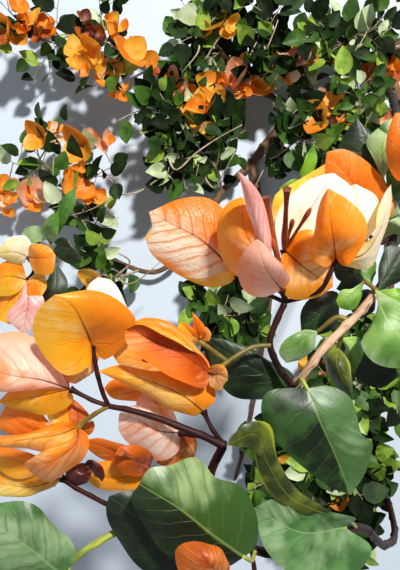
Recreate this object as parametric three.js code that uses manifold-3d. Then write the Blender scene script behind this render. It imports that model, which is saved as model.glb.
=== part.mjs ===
// A flowering bough of bougainvillea, cut from its bush and laid on the ground. Woody stems run along
// the ground from the flat cut at the butt, long shoots arch up from them, and at the ends of the
// shoots sit the blooms: papery orange bracts in threes round slender flower tubes, among broad
// green leaves. Leafy sprays with small blooms fill in along the low stems.
// Millimetres, +Z up. The origin is on the ground, under the middle of the whole bough.

import * as THREE from "three";
import { mergeVertices } from "three/addons/utils/BufferGeometryUtils.js";
import Module from "manifold-3d";

const wasm = await Module();
wasm.setup();

// Driving sizes

const BRACT_THICK = 0.6;
const LEAF_THICK = 0.8;
const SMALL_BLADE_THICK = 0.5;
const STALK_RADIUS = 1;
const KNOB_RADIUS = 1.7;
const KNOB_RADII = [0.8, KNOB_RADIUS, 0.8];
const PETIOLE_RADIUS = 1.1;
const PETIOLE_TIP_RADIUS = 0.88;
const LEAFY_TWIG_RADII = [1.3, 0.9];
const YOUNG_SHOOT_RADII = [1.8, 1.5];
const FLOWER_RADII = [1.2, 1.5, 1, 1.6];
const BUD_RADII = [0.8, 0.7, 1.1, 0.5];
const SMALL_LEAF = 38;
const SMALL_BRACT = 29;

// The air kept between two nodes, and how deep a blade's root lies in its stem
const CLEARANCE = 0.3;
const SUNK = 2;

// What a skin is mended by: edges below the first length go, and corners nearer than the second are one
const SHORTEST_EDGE = 0.02;
const SAME_CORNER = 0.001;
const PATCH = 0.12;
const PATCH_ROUNDS = 4;

// How finely stems are faceted: the sides of a ring, and the step from ring to ring
const MAIN_STEM_FACETS = { sides: 7, step: 60 };
const LOW_STEM_FACETS = { sides: 5, step: 42 };
const SHOOT_FACETS = { sides: 5, step: 24 };
const YOUNG_SHOOT_FACETS = { sides: 6, step: 20 };
const STALK_FACETS = { sides: 4, step: 18 };
const PETIOLE_FACETS = { sides: 4, step: 12 };
const LEAFY_TWIG_FACETS = { sides: 4, step: 7 };
const SPRAY_STEM_FACETS = { sides: 4, step: 22 };
const SPRAY_TWIG_FACETS = { sides: 3, step: 24 };
const SPRAY_STALK_FACETS = { sides: 3, step: 30 };
const SPINDLE_SIDES = 4;

// The bough is laid out as it looks from straight above. A place is given by where it shows in that
// view, counted right and down from the view's top left corner, and by its height above the ground.
// A bract is about 100 units wide at the height of the blooms and 35 on the ground.

const EYE = new THREE.Vector3(-14.4, -11.1, 560);
const VIEW = { across: 200, down: 285, focal: 476 };

function seen(across, down, height) {
  const scale = (EYE.z - height) / VIEW.focal;
  return new THREE.Vector3(
    EYE.x + (across - VIEW.across) * scale,
    EYE.y - (down - VIEW.down) * scale,
    height,
  );
}

function places(points) {
  return points.map((point) => seen(...point));
}

// Random numbers that come out the same on every run

const FACTOR = 1664525;
const INCREMENT = 1013904223;
const MODULUS = 2 ** 32;

function seeded(seed) {
  let state = seed;
  return () => {
    state = (state * FACTOR + INCREMENT) % MODULUS;
    return state / MODULUS;
  };
}

function between(random, low, high) {
  return low + (high - low) * random();
}

// Closed shapes. Each returns a function that builds the solid, swollen by a margin if one is given.

function solidOf(positions, triangles) {
  const mesh = new wasm.Mesh({
    numProp: 3,
    vertProperties: new Float32Array(positions),
    triVerts: new Uint32Array(triangles),
  });
  return new wasm.Manifold(mesh);
}

// The skin over a row of rings of the same count of sides, with a flat face at each end.
function skinOfRings(positions, rings, sides) {
  const triangles = [];
  for (let ring = 0; ring < rings - 1; ring++) {
    for (let side = 0; side < sides; side++) {
      const next = (side + 1) % sides;
      const a = ring * sides + side;
      const b = ring * sides + next;
      triangles.push(a, b, b + sides, a, b + sides, a + sides);
    }
  }
  const last = (rings - 1) * sides;
  for (let side = 1; side < sides - 1; side++) {
    triangles.push(0, side + 1, side);
    triangles.push(last, last + side, last + side + 1);
  }
  return solidOf(positions, triangles);
}

function smoothLine(points) {
  return new THREE.CatmullRomCurve3(points, false, "centripetal");
}

// The point on a stem's middle line where a blade at its end has its root, sunk well in.
function pointNearEnd(line) {
  return line.getPointAt(1 - SUNK / line.getLength());
}

// A round stem through the points, tapering from root to tip.
function limb(points, rootRadius, tipRadius, { sides, step }) {
  const line = smoothLine(points);
  const steps = Math.max(2, Math.round(line.getLength() / step));
  const frames = line.computeFrenetFrames(steps, false);
  return (swell = 0) => {
    const positions = [];
    for (let i = 0; i <= steps; i++) {
      const centre = line.getPointAt(i / steps);
      const pastEnd = i === 0 ? -swell : i === steps ? swell : 0;
      centre.addScaledVector(frames.tangents[i], pastEnd);
      const radius = THREE.MathUtils.lerp(rootRadius, tipRadius, i / steps) + swell;
      for (let k = 0; k < sides; k++) {
        const angle = (2 * Math.PI * k) / sides;
        const corner = centre
          .clone()
          .addScaledVector(frames.normals[i], radius * Math.cos(angle))
          .addScaledVector(frames.binormals[i], radius * Math.sin(angle));
        positions.push(...corner.toArray());
      }
    }
    return skinOfRings(positions, steps + 1, sides);
  };
}

// A straight spindle whose radii are given at even steps from root to tip: a flower tube or a bud.
function spindle(root, tip, radii) {
  const along = tip.clone().sub(root);
  const turn = new THREE.Quaternion().setFromUnitVectors(
    new THREE.Vector3(0, 0, 1),
    along.clone().normalize(),
  );
  return (swell = 0) => {
    const positions = [];
    radii.forEach((radius, i) => {
      const centre = root.clone().addScaledVector(along, i / (radii.length - 1));
      for (let k = 0; k < SPINDLE_SIDES; k++) {
        const angle = (2 * Math.PI * k) / SPINDLE_SIDES;
        const reach = radius + swell;
        const corner = new THREE.Vector3(reach * Math.cos(angle), reach * Math.sin(angle), 0);
        positions.push(...corner.applyQuaternion(turn).add(centre).toArray());
      }
    });
    return skinOfRings(positions, radii.length, SPINDLE_SIDES);
  };
}

// Outlines of a blade: the share of the half width at a share of the length from root to tip.
// The widest place is at early / (early + late), and lobe is how far the sides reach back past the root.
const LOBE_FADE = 4;
const BRACT_OUTLINE = { early: 0.42, late: 0.72, lobe: 0.1 };
const LEAF_OUTLINE = { early: 0.55, late: 0.95, lobe: 0.05 };

function halfWidthShare(outline, t) {
  const { early, late } = outline;
  const widest = early / (early + late);
  const most = widest ** early * (1 - widest) ** late;
  return (t ** early * (1 - t) ** late) / most;
}

// Where the cross rows of a blade lie, as shares of its length. Each row has a point on the left
// margin, one on the right margin, and one on each side of the midrib.
const FINE_ROWS = [0.12, 0.38, 0.65, 0.88];
const PLAIN_ROWS = [0.22, 0.66];
const SPARE_ROWS = [0.42];

// A small leaf or bract from root to tip. It faces up, or the way that face gives, before it rolls
// about its length. cup is how far each side turns up from the midrib, and curl how far the midrib
// turns from end to end, standing up in the middle, both in degrees.
function blade(shape, outline) {
  const { root, tip, width, thick, cup, curl, roll = 0 } = shape;
  const chord = tip.distanceTo(root);
  const axis = tip.clone().sub(root).normalize();
  const side = (shape.face ?? new THREE.Vector3(0, 0, 1)).clone().cross(axis).normalize();
  side.applyAxisAngle(axis, THREE.MathUtils.degToRad(roll));
  const up = axis.clone().cross(side);
  const turn = THREE.MathUtils.degToRad(curl);
  const bend = THREE.MathUtils.degToRad(cup);
  const arcRadius = chord / (2 * Math.sin(turn / 2));

  // The point at share t of the length and share s of the half width, lifted off the middle surface.
  function place(t, s, lift, swell) {
    const phase = turn * (t - 0.5);
    const half = (width / 2) * halfWidthShare(outline, t) + swell;
    const lobe = outline.lobe * chord * s * s * (1 - t) ** LOBE_FADE;
    const along = chord / 2 + arcRadius * Math.sin(phase) - lobe;
    const height = arcRadius * (Math.cos(phase) - Math.cos(turn / 2));
    const lean = bend * s;
    const out = (half / bend) * Math.sin(lean) - lift * Math.sin(lean);
    const rise = (half / bend) * (1 - Math.cos(lean)) + lift * Math.cos(lean);
    return root
      .clone()
      .addScaledVector(axis, along)
      .addScaledVector(up, height + rise)
      .addScaledVector(side, out);
  }

  return (swell = 0) => {
    const lift = thick / 2 + swell;
    const positions = [...root.toArray(), ...tip.clone().addScaledVector(axis, swell).toArray()];
    for (const t of SPARE_ROWS) {
      positions.push(...place(t, -1, 0, swell).toArray());
      positions.push(...place(t, 0, lift, swell).toArray());
      positions.push(...place(t, 1, 0, swell).toArray());
      positions.push(...place(t, 0, -lift, swell).toArray());
    }
    return skinOfRows(positions, SPARE_ROWS.length);
  };
}

// A blade stretched over three lines that run from its root to its tip: its rib, and the margins to the
// left and to the right of the rib. Their points are given as places in the view.
function sheet(root, { rib, left, right }, thick, rows) {
  const tip = seen(...rib[rib.length - 1]);
  const ribLine = smoothLine([root, ...places(rib)]);
  const leftLine = smoothLine([root, ...places(left), tip]);
  const rightLine = smoothLine([root, ...places(right), tip]);
  const tipHeading = ribLine.getTangentAt(1);
  return (swell = 0) => {
    const lift = thick / 2 + swell;
    const positions = [...root.toArray(), ...tip.clone().addScaledVector(tipHeading, swell).toArray()];
    for (const share of rows) {
      const middle = ribLine.getPointAt(share);
      const leftEdge = leftLine.getPointAt(share);
      const rightEdge = rightLine.getPointAt(share);
      const side = leftEdge.clone().sub(rightEdge).normalize();
      const up = ribLine.getTangentAt(share).cross(side).normalize();
      positions.push(...rightEdge.addScaledVector(side, -swell).toArray());
      positions.push(...middle.clone().addScaledVector(up, lift).toArray());
      positions.push(...leftEdge.addScaledVector(side, swell).toArray());
      positions.push(...middle.addScaledVector(up, -lift).toArray());
    }
    return skinOfRows(positions, rows.length);
  };
}

// The skin over a blade's root, its tip and its rows of four: right margin, top, left margin, bottom.
function skinOfRows(positions, rowCount) {
  const upper = [];
  const lower = [];
  for (let row = 0; row < rowCount; row++) {
    const first = 2 + 4 * row;
    upper.push([first, first + 1, first + 2]);
    lower.push([first, first + 3, first + 2]);
  }
  return solidOf(positions, [...sheetFaces(upper, false), ...sheetFaces(lower, true)]);
}

// The faces of one side of a blade: a fan at the root, strips between the rows and a fan at the tip.
function sheetFaces(rows, flipped) {
  const faces = [];
  const add = (a, b, c) => faces.push(...(flipped ? [a, c, b] : [a, b, c]));
  const last = rows[rows.length - 1];
  for (let i = 0; i < last.length - 1; i++) {
    add(0, rows[0][i], rows[0][i + 1]);
    add(last[i], 1, last[i + 1]);
    for (let r = 0; r < rows.length - 1; r++) {
      add(rows[r][i], rows[r + 1][i], rows[r + 1][i + 1]);
      add(rows[r][i], rows[r + 1][i + 1], rows[r][i + 1]);
    }
  }
  return faces;
}

// The nodes, in the order they are placed. Each is cut clear of all that were placed before it.

const BARK = new THREE.MeshStandardMaterial({ color: 0x9a7458, roughness: 0.9, metalness: 0 });
const TWIG = new THREE.MeshStandardMaterial({ color: 0x4a2a1e, roughness: 0.7, metalness: 0 });
const BRACT = new THREE.MeshStandardMaterial({ color: 0xf98a1c, roughness: 0.6, metalness: 0 });
const LEAF = new THREE.MeshStandardMaterial({ color: 0x5f8f35, roughness: 0.5, metalness: 0 });
const SPRAY = new THREE.MeshStandardMaterial({ color: 0x3f6a28, roughness: 0.6, metalness: 0 });

const bough = new THREE.Group();
const placed = [];

function boxesMeet(a, b) {
  const one = a.boundingBox();
  const two = b.boundingBox();
  return [0, 1, 2].every((i) => one.min[i] < two.max[i] && two.min[i] < one.max[i]);
}

function fuse(parts, swell = 0) {
  return wasm.Manifold.union(parts.map((part) => part(swell)));
}

function geometryOf(solid) {
  const { vertProperties, triVerts, numProp } = solid.getMesh();
  const geometry = new THREE.BufferGeometry();
  const positions = new Float32Array((vertProperties.length / numProp) * 3);
  for (let i = 0; i < positions.length / 3; i++) {
    positions.set(vertProperties.subarray(i * numProp, i * numProp + 3), i * 3);
  }
  geometry.setAttribute("position", new THREE.BufferAttribute(positions, 3));
  geometry.setIndex(new THREE.BufferAttribute(new Uint32Array(triVerts), 1));
  return geometry;
}

// The places where a skin pinches itself: the middles of the edges where more than two faces meet.
function pinches(geometry) {
  const corners = geometry.index.array;
  const uses = new Map();
  for (let i = 0; i < corners.length; i++) {
    const a = corners[i];
    const b = corners[i % 3 === 2 ? i - 2 : i + 1];
    const key = Math.min(a, b) * corners.length + Math.max(a, b);
    const edge = uses.get(key) ?? { a, b, faces: 0 };
    edge.faces++;
    uses.set(key, edge);
  }
  const corner = (i) => new THREE.Vector3().fromBufferAttribute(geometry.attributes.position, i);
  return [...uses.values()]
    .filter(({ faces }) => faces !== 2)
    .map(({ a, b }) => corner(a).lerp(corner(b), 0.5).toArray());
}

// The largest of the pieces a solid is in, once corners closer than SAME_CORNER are made one. Where its
// skin would pinch itself, a speck of a cube is added there.
function largestBody(solid) {
  let whole = solid.simplify(SHORTEST_EDGE);
  for (let round = 0; round < PATCH_ROUNDS; round++) {
    const merged = mergeVertices(geometryOf(whole), SAME_CORNER);
    const pieces = solidOf(merged.attributes.position.array, merged.index.array).decompose();
    const largest = pieces.reduce((best, piece) => (piece.volume() > best.volume() ? piece : best));
    const pinched = pinches(mergeVertices(geometryOf(largest), SAME_CORNER));
    if (pinched.length === 0) return largest;
    for (const place of pinched) {
      whole = whole.add(wasm.Manifold.cube([PATCH, PATCH, PATCH], true).translate(place));
    }
  }
  throw new Error("the skin still pinches itself");
}

function addNode(name, parts, material) {
  let solid = fuse(parts).trimByPlane([0, 0, 1], 0);
  for (const other of placed) {
    if (boxesMeet(solid, other.grown)) solid = solid.subtract(other.grown);
  }
  solid = largestBody(solid);
  placed.push({ name, solid, grown: fuse(parts, CLEARANCE) });
  const mesh = new THREE.Mesh(geometryOf(solid), material);
  mesh.name = name;
  bough.add(mesh);
}

function meet(a, b) {
  return boxesMeet(a, b) && a.intersect(b).volume() > 0;
}

// Whether a part would touch anything placed so far, or lie in the ground.
function isBlocked(part) {
  const grown = part(CLEARANCE);
  return grown.boundingBox().min[2] < 0 || placed.some((other) => meet(grown, other.solid));
}

// The woody stems on the ground

const mainStem = {
  line: [
    seen(428, 28, 6.9),
    seen(385, 54, 6.6),
    seen(340, 82, 10),
    seen(289, 118, 8),
    seen(250, 165, 4.8),
  ],
  root: 7,
  tip: 5,
};
addNode("main_stem", [limb(mainStem.line, mainStem.root, mainStem.tip, MAIN_STEM_FACETS)], BARK);

const lowStems = {
  upper_bough: {
    line: [
      seen(301, 109, 9),
      seen(262, 92, 18),
      seen(215, 70, 24),
      seen(178, 78, 14),
      seen(140, 62, 6),
      seen(105, 52, 2),
    ],
    root: 3.8,
    tip: 1.6,
  },
  left_bough: {
    line: [
      seen(252, 163, 6),
      seen(222, 192, 14),
      seen(195, 235, 20),
      seen(165, 268, 22),
      seen(147, 272, 20),
      seen(99, 249, 10),
      seen(78, 215, 3),
      seen(62, 190, 1.6),
    ],
    root: 4,
    tip: 1.6,
  },
  lower_bough: {
    line: [
      seen(252, 163, 5),
      seen(262, 215, 14),
      seen(270, 290, 20),
      seen(262, 350, 14),
      seen(250, 420, 5),
      seen(235, 480, 2),
    ],
    root: 4,
    tip: 1.8,
  },
  right_bough: {
    line: [
      seen(386, 53, 7),
      seen(402, 120, 13),
      seen(396, 220, 18),
      seen(388, 320, 14),
      seen(378, 420, 6),
      seen(374, 500, 3),
      seen(378, 545, 2),
    ],
    root: 4.6,
    tip: 2,
  },
};
for (const [name, { line, root, tip }] of Object.entries(lowStems)) {
  addNode(name, [limb(line, root, tip, LOW_STEM_FACETS)], BARK);
}

// The shoots that arch up from them to the blooms

const shoots = {
  arching_shoot: {
    line: [
      seen(372, 62, 9),
      seen(393, 100, 120),
      seen(399, 165, 245),
      seen(394, 228, 298),
      seen(386, 276, 320),
      seen(357, 315, 334),
      seen(325, 347, 340),
      seen(295, 386, 342),
    ],
    root: 3.6,
    tip: 1.8,
  },
  lower_shoot: {
    line: [
      seen(376, 462, 4),
      seen(394, 525, 110),
      seen(384, 545, 215),
      seen(356, 528, 292),
      seen(310, 548, 322),
      seen(255, 550, 334),
      seen(215, 517, 340),
      seen(210, 476, 343),
      seen(224, 444, 346),
    ],
    root: 3.2,
    tip: 2,
  },
  left_shoot: {
    line: [seen(80, 220, 4), seen(52, 228, 90), seen(36, 246, 180), seen(33, 264, 232)],
    root: 2.2,
    tip: 1.2,
  },
  flower_stem_right: {
    line: [
      seen(294, 387, 341),
      seen(281, 371, 342),
      seen(270, 345, 344),
      seen(276, 322, 345),
      seen(285, 303, 346),
    ],
    root: 1.5,
    tip: 1.4,
  },
  flower_stem_left: {
    line: [
      seen(225, 446, 346),
      seen(205, 437, 347),
      seen(157, 418, 348),
      seen(133, 411, 348),
      seen(108, 406, 347),
    ],
    root: 1.7,
    tip: 1.2,
  },
};
for (const [name, { line, root, tip }] of Object.entries(shoots)) {
  addNode(name, [limb(line, root, tip, SHOOT_FACETS)], TWIG);
}

// A bloom: its stalk, the bracts that part from the stalk's end, and the flower tubes that stand among
// them. Each flower is listed by its own tip, and a closed one is a bud.

function bloomParts({ stalk, bracts, flowers = [], buds = [], rows = FINE_ROWS }) {
  const points = places(stalk);
  const base = points[points.length - 1];
  const middle = new THREE.Vector3();
  bracts.forEach(({ rib }) => middle.add(seen(...rib[0]).sub(base).normalize()));
  middle.normalize();
  const knobEnd = middle.clone().multiplyScalar(KNOB_RADIUS);
  return [
    limb(points, STALK_RADIUS, STALK_RADIUS, STALK_FACETS),
    spindle(base.clone().sub(knobEnd), base.clone().add(knobEnd), KNOB_RADII),
    ...bracts.map((bract) => sheet(base, bract, BRACT_THICK, rows)),
    ...places(flowers).map((tip) => spindle(base, tip, FLOWER_RADII)),
    ...places(buds).map((tip) => spindle(base, tip, BUD_RADII)),
  ];
}

const UPPER_FORK = [285, 302, 346];
const LEFT_FORK = [109, 406, 347];

const blooms = {
  // Upper right group
  bloom_upper_left: {
    stalk: [UPPER_FORK, [265, 293, 342], [246, 279, 341], [230, 266, 341]],
    bracts: [
      {
        rib: [[200, 239, 351], [174, 225, 352], [149, 212, 352]],
        left: [[217, 275, 341], [188, 277, 343], [162, 264, 345], [147, 246, 347], [152, 227, 350]],
        right: [[234, 228, 346], [212, 200, 347], [180, 199, 350]],
      },
      {
        rib: [[190, 258, 336], [145, 238, 334]],
        left: [[234, 280, 336], [212, 287, 334], [182, 277, 334], [156, 258, 334]],
        right: [[218, 232, 336], [190, 218, 334], [158, 222, 334]],
      },
      {
        rib: [[240, 235, 336], [250, 206, 332]],
        left: [[224, 242, 334], [232, 214, 332]],
        right: [[252, 250, 334], [258, 225, 332]],
      },
    ],
  },
  bloom_upper_middle: {
    stalk: [UPPER_FORK, [283, 295, 350], [282, 290, 352]],
    bracts: [
      {
        rib: [[262, 262, 364], [245, 230, 370], [241, 197, 366]],
        left: [[260, 282, 354], [236, 275, 354], [219, 252, 356], [217, 224, 360], [228, 203, 364]],
        right: [[270, 255, 358], [262, 225, 364], [253, 203, 366]],
      },
      {
        rib: [[268, 262, 364], [255, 224, 374], [246, 192, 382], [238, 171, 386]],
        left: [[264, 264, 356], [251, 222, 362], [243, 190, 374]],
        right: [[274, 262, 362], [269, 232, 370], [263, 200, 378], [251, 182, 384]],
      },
      {
        rib: [[264, 264, 378], [257, 239, 382]],
        left: [[264, 297, 358], [243, 289, 366], [237, 267, 372], [247, 248, 380]],
        right: [[290, 280, 358], [284, 268, 366], [272, 254, 376], [264, 244, 381]],
      },
    ],
    flowers: [[266, 197, 372]],
    buds: [[272, 238, 366]],
  },
  bloom_upper_centre: {
    stalk: [UPPER_FORK, [286, 285, 346], [284, 266, 347], [284, 250, 348]],
    bracts: [
      {
        rib: [[302, 222, 348], [334, 173, 352]],
        left: [[275, 226, 344], [284, 202, 344], [305, 182, 346], [322, 175, 350]],
        right: [[314, 252, 350], [345, 226, 352], [353, 190, 353]],
      },
      {
        rib: [[292, 215, 334], [327, 163, 322]],
        left: [[273, 216, 328], [275, 194, 326], [300, 179, 324]],
        right: [[320, 222, 334], [345, 185, 326]],
      },
      {
        rib: [[305, 268, 356], [333, 287, 350]],
        left: [[298, 232, 352], [317, 232, 354], [331, 260, 353]],
        right: [[279, 268, 352], [288, 297, 350], [318, 297, 349]],
      },
    ],
    flowers: [[287, 189, 378]],
    buds: [[311, 208, 366], [293, 219, 360]],
  },
  bloom_upper_right: {
    stalk: [UPPER_FORK, [307, 296, 349], [322, 288, 352], [330, 274, 354], [336, 260, 354]],
    bracts: [
      {
        rib: [[333, 235, 374], [330, 212, 378], [328, 188, 378]],
        left: [[324, 267, 362], [309, 252, 364], [314, 228, 368], [320, 202, 373]],
        right: [[346, 266, 360], [363, 246, 362], [365, 220, 365], [347, 199, 371]],
      },
      {
        rib: [[351, 226, 348], [356, 184, 346]],
        left: [[335, 225, 342], [341, 191, 342]],
        right: [[363, 243, 350], [378, 222, 350], [376, 196, 347]],
      },
      {
        rib: [[364, 254, 352], [382, 226, 350], [391, 184, 342]],
        left: [[352, 248, 352], [372, 236, 357], [379, 208, 358], [386, 192, 350]],
        right: [[350, 268, 346], [370, 268, 341], [382, 238, 339], [392, 205, 339]],
      },
    ],
  },
  bloom_upper_back: {
    stalk: [[393, 236, 302], [378, 243, 316], [366, 232, 324]],
    rows: PLAIN_ROWS,
    bracts: [
      {
        rib: [[356, 188, 334], [327, 152, 338]],
        left: [[345, 215, 330], [327, 186, 332], [325, 166, 336]],
        right: [[386, 216, 326], [386, 186, 330], [368, 163, 335], [344, 149, 338]],
      },
      {
        rib: [[380, 202, 316], [389, 186, 316]],
        left: [[366, 205, 316], [376, 188, 316]],
        right: [[388, 220, 316], [394, 204, 316]],
      },
      {
        rib: [[356, 250, 312], [350, 264, 306]],
        left: [[368, 250, 310], [362, 264, 306]],
        right: [[346, 238, 312], [342, 254, 306]],
      },
    ],
  },
  bloom_right_edge: {
    stalk: [[398, 190, 268], [407, 188, 305], [412, 176, 328]],
    rows: PLAIN_ROWS,
    bracts: [
      {
        rib: [[406, 145, 348], [395, 113, 350]],
        left: [[396, 180, 336], [386, 155, 344], [387, 134, 347]],
        right: [[428, 160, 340], [425, 130, 344], [408, 113, 349]],
      },
      {
        rib: [[424, 140, 336], [432, 110, 336]],
        left: [[408, 145, 334], [416, 118, 335]],
        right: [[436, 158, 334], [446, 130, 335]],
      },
      {
        rib: [[430, 188, 332], [448, 200, 330]],
        left: [[428, 172, 332], [444, 182, 331]],
        right: [[414, 192, 332], [428, 204, 331]],
      },
    ],
  },
  // Left group
  bloom_left_crown: {
    stalk: [LEFT_FORK, [103, 394, 349], [98, 376, 351], [92, 346, 351]],
    bracts: [
      {
        rib: [[84, 326, 366], [72, 305, 374], [54, 295, 377]],
        left: [[90, 365, 358], [68, 375, 360], [43, 355, 362], [32, 330, 366], [39, 309, 372]],
        right: [[104, 360, 346], [126, 343, 350], [136, 321, 356], [120, 302, 362], [92, 290, 369]],
      },
      {
        rib: [[100, 310, 340], [98, 277, 342]],
        left: [[84, 318, 338], [88, 286, 341]],
        right: [[130, 328, 336], [124, 300, 338], [112, 281, 341]],
      },
      {
        rib: [[88, 365, 349], [75, 384, 345]],
        left: [[98, 358, 347], [91, 374, 345]],
        right: [[68, 352, 348], [54, 368, 347], [64, 381, 345]],
      },
    ],
  },
  bloom_left: {
    stalk: [LEFT_FORK, [97, 402, 348], [84, 396, 349], [70, 389, 350]],
    bracts: [
      {
        rib: [[42, 380, 357], [10, 375, 362], [-18, 366, 360]],
        left: [[48, 387, 352], [15, 390, 356], [-10, 391, 357]],
        right: [[62, 372, 353], [46, 346, 351], [18, 332, 350], [-10, 340, 353]],
      },
      {
        rib: [[38, 396, 350], [-2, 402, 350]],
        left: [[73, 401, 345], [52, 414, 343], [20, 411, 345]],
        right: [[50, 381, 351], [15, 387, 351]],
      },
      {
        rib: [[55, 355, 342], [44, 338, 341]],
        left: [[42, 376, 340], [30, 352, 339]],
        right: [[67, 366, 343], [61, 346, 342]],
      },
    ],
  },
  bloom_left_gold: {
    stalk: [LEFT_FORK, [98, 412, 347], [88, 419, 346], [78, 427, 345]],
    bracts: [
      {
        rib: [[56, 435, 362], [15, 441, 367], [-14, 446, 362]],
        left: [[88, 436, 350], [84, 454, 350], [56, 454, 356], [20, 449, 362]],
        right: [[74, 421, 352], [52, 424, 358], [25, 435, 363], [-5, 436, 362]],
      },
      {
        rib: [[74, 446, 366], [50, 462, 368], [24, 464, 360]],
        left: [[89, 440, 353], [84, 458, 354], [68, 470, 356], [49, 484, 355], [34, 475, 356]],
        right: [[68, 440, 365], [50, 449, 368], [34, 456, 364]],
      },
      {
        rib: [[45, 432, 336], [22, 424, 338], [6, 405, 338]],
        left: [[52, 442, 334], [18, 440, 334], [-2, 426, 336]],
        right: [[52, 424, 336], [39, 411, 337], [20, 404, 338]],
      },
      {
        rib: [[60, 420, 338], [47, 408, 337]],
        left: [[62, 430, 338], [49, 421, 337]],
        right: [[72, 413, 338], [69, 402, 337], [56, 402, 337]],
      },
      {
        rib: [[78, 413, 338], [72, 398, 336]],
        left: [[70, 419, 341], [69, 404, 338]],
        right: [[89, 419, 336], [83, 407, 335]],
      },
      {
        rib: [[87, 429, 339], [95, 426, 337]],
        left: [[86, 423, 340], [93, 421, 338]],
        right: [[83, 437, 338], [92, 433, 337]],
      },
    ],
  },
  bloom_left_low: {
    stalk: [[215, 516, 340], [150, 521, 334], [107, 504, 341], [80, 490, 344], [61, 478, 346]],
    rows: PLAIN_ROWS,
    bracts: [
      {
        rib: [[30, 487, 340], [-10, 482, 337]],
        left: [[56, 485, 342], [36, 493, 339], [15, 498, 337], [-5, 494, 336]],
        right: [[46, 472, 341], [22, 462, 341], [0, 466, 338]],
      },
      {
        rib: [[25, 463, 345], [-12, 455, 344]],
        left: [[40, 475, 343], [10, 478, 343]],
        right: [[40, 458, 345], [15, 448, 346], [-5, 447, 345]],
      },
      {
        rib: [[46, 484, 334], [34, 487, 331]],
        left: [[52, 488, 334], [40, 491, 331]],
        right: [[46, 478, 334], [36, 481, 331]],
      },
    ],
  },
  bloom_young_dark: {
    stalk: [[73, 486, 344], [79, 477, 343], [84, 464, 342]],
    rows: PLAIN_ROWS,
    bracts: [
      {
        rib: [[80, 474, 350], [76, 486, 345]],
        left: [[91, 471, 346], [88, 483, 345]],
        right: [[74, 463, 347], [66, 473, 347], [69, 482, 345]],
      },
      {
        rib: [[96, 467, 348], [102, 482, 342]],
        left: [[91, 459, 347], [101, 465, 347], [105, 475, 344]],
        right: [[90, 469, 345], [95, 475, 344]],
      },
    ],
  },
  // Middle group
  bloom_middle_red: {
    stalk: [[270, 345, 345], [254, 347, 347], [241, 353, 349], [226, 363, 350], [211, 374, 350]],
    bracts: [
      {
        rib: [[188, 358, 360], [158, 342, 364], [125, 330, 369]],
        left: [[206, 387, 353], [180, 381, 364], [148, 362, 370], [126, 342, 371]],
        right: [[206, 361, 353], [188, 348, 364], [165, 335, 370], [140, 325, 372]],
      },
      {
        rib: [[188, 345, 348], [160, 328, 350], [133, 322, 348]],
        left: [[190, 366, 347], [150, 345, 348]],
        right: [[208, 360, 347], [194, 345, 347], [172, 325, 347], [148, 317, 348]],
      },
      {
        rib: [[165, 366, 344], [112, 354, 342]],
        left: [[190, 388, 342], [150, 379, 340], [122, 367, 340]],
        right: [[170, 350, 345], [125, 340, 343]],
      },
      {
        rib: [[221, 375, 355], [228, 380, 352]],
        left: [[210, 366, 356], [221, 364, 358], [227, 371, 356]],
        right: [[210, 386, 351], [220, 389, 350]],
      },
    ],
    buds: [[142, 360, 352]],
  },
  bloom_middle_gold: {
    stalk: [[224, 444, 346], [213, 430, 346], [203, 411, 345]],
    bracts: [
      {
        rib: [[180, 394, 354], [140, 378, 358], [98, 371, 357]],
        left: [[196, 416, 344], [170, 408, 350], [138, 391, 354], [112, 378, 356]],
        right: [[215, 400, 345], [214, 385, 343], [188, 373, 349], [150, 371, 353], [118, 365, 355]],
      },
      {
        rib: [[150, 392, 332], [104, 388, 330]],
        left: [[140, 402, 330], [112, 398, 329]],
        right: [[150, 380, 332], [112, 380, 330]],
      },
      {
        rib: [[196, 386, 336], [188, 362, 332]],
        left: [[184, 388, 335], [180, 368, 332]],
        right: [[207, 388, 335], [199, 366, 332]],
      },
    ],
  },
  bloom_middle_pink: {
    stalk: [[205, 437, 346], [192, 435, 341], [180, 433, 337]],
    bracts: [
      {
        rib: [[156, 430, 342], [141, 421, 343], [119, 414, 341]],
        left: [[178, 452, 335], [160, 460, 334], [136, 450, 335], [119, 431, 339]],
        right: [[172, 418, 340], [150, 407, 342], [130, 406, 342]],
      },
      {
        rib: [[163, 412, 334], [146, 389, 332]],
        left: [[155, 420, 335], [136, 404, 333]],
        right: [[177, 418, 333], [161, 396, 331]],
      },
      {
        rib: [[186, 448, 329], [170, 469, 325]],
        left: [[196, 440, 328], [195, 456, 325], [184, 468, 324]],
        right: [[172, 450, 328], [156, 462, 325]],
      },
    ],
  },
  bloom_middle_low: {
    stalk: [[150, 521, 334], [154, 496, 330], [149, 470, 330]],
    rows: PLAIN_ROWS,
    bracts: [
      {
        rib: [[116, 452, 336], [86, 440, 335]],
        left: [[125, 466, 333], [99, 458, 333], [88, 449, 334]],
        right: [[137, 450, 337], [112, 441, 337], [98, 438, 336]],
      },
      {
        rib: [[118, 478, 334], [86, 472, 334]],
        left: [[146, 485, 330], [120, 491, 331], [94, 487, 332]],
        right: [[128, 463, 335], [102, 461, 335]],
      },
      {
        rib: [[132, 459, 346], [114, 459, 348]],
        left: [[142, 476, 338], [122, 473, 344]],
        right: [[153, 456, 338], [137, 445, 345], [119, 448, 348]],
      },
    ],
    flowers: [[121, 452, 354]],
  },
  bloom_young_spiky: {
    stalk: [[228, 362, 350], [212, 350, 341], [200, 342, 337]],
    rows: PLAIN_ROWS,
    bracts: [
      {
        rib: [[197, 330, 342], [192, 312, 344]],
        left: [[191, 334, 341], [194, 320, 343]],
        right: [[206, 336, 341], [204, 325, 343]],
      },
      {
        rib: [[190, 332, 342], [180, 322, 342]],
        left: [[186, 340, 340], [177, 330, 341]],
        right: [[194, 330, 342], [186, 323, 343]],
      },
      {
        rib: [[206, 336, 340], [208, 328, 342]],
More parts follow.
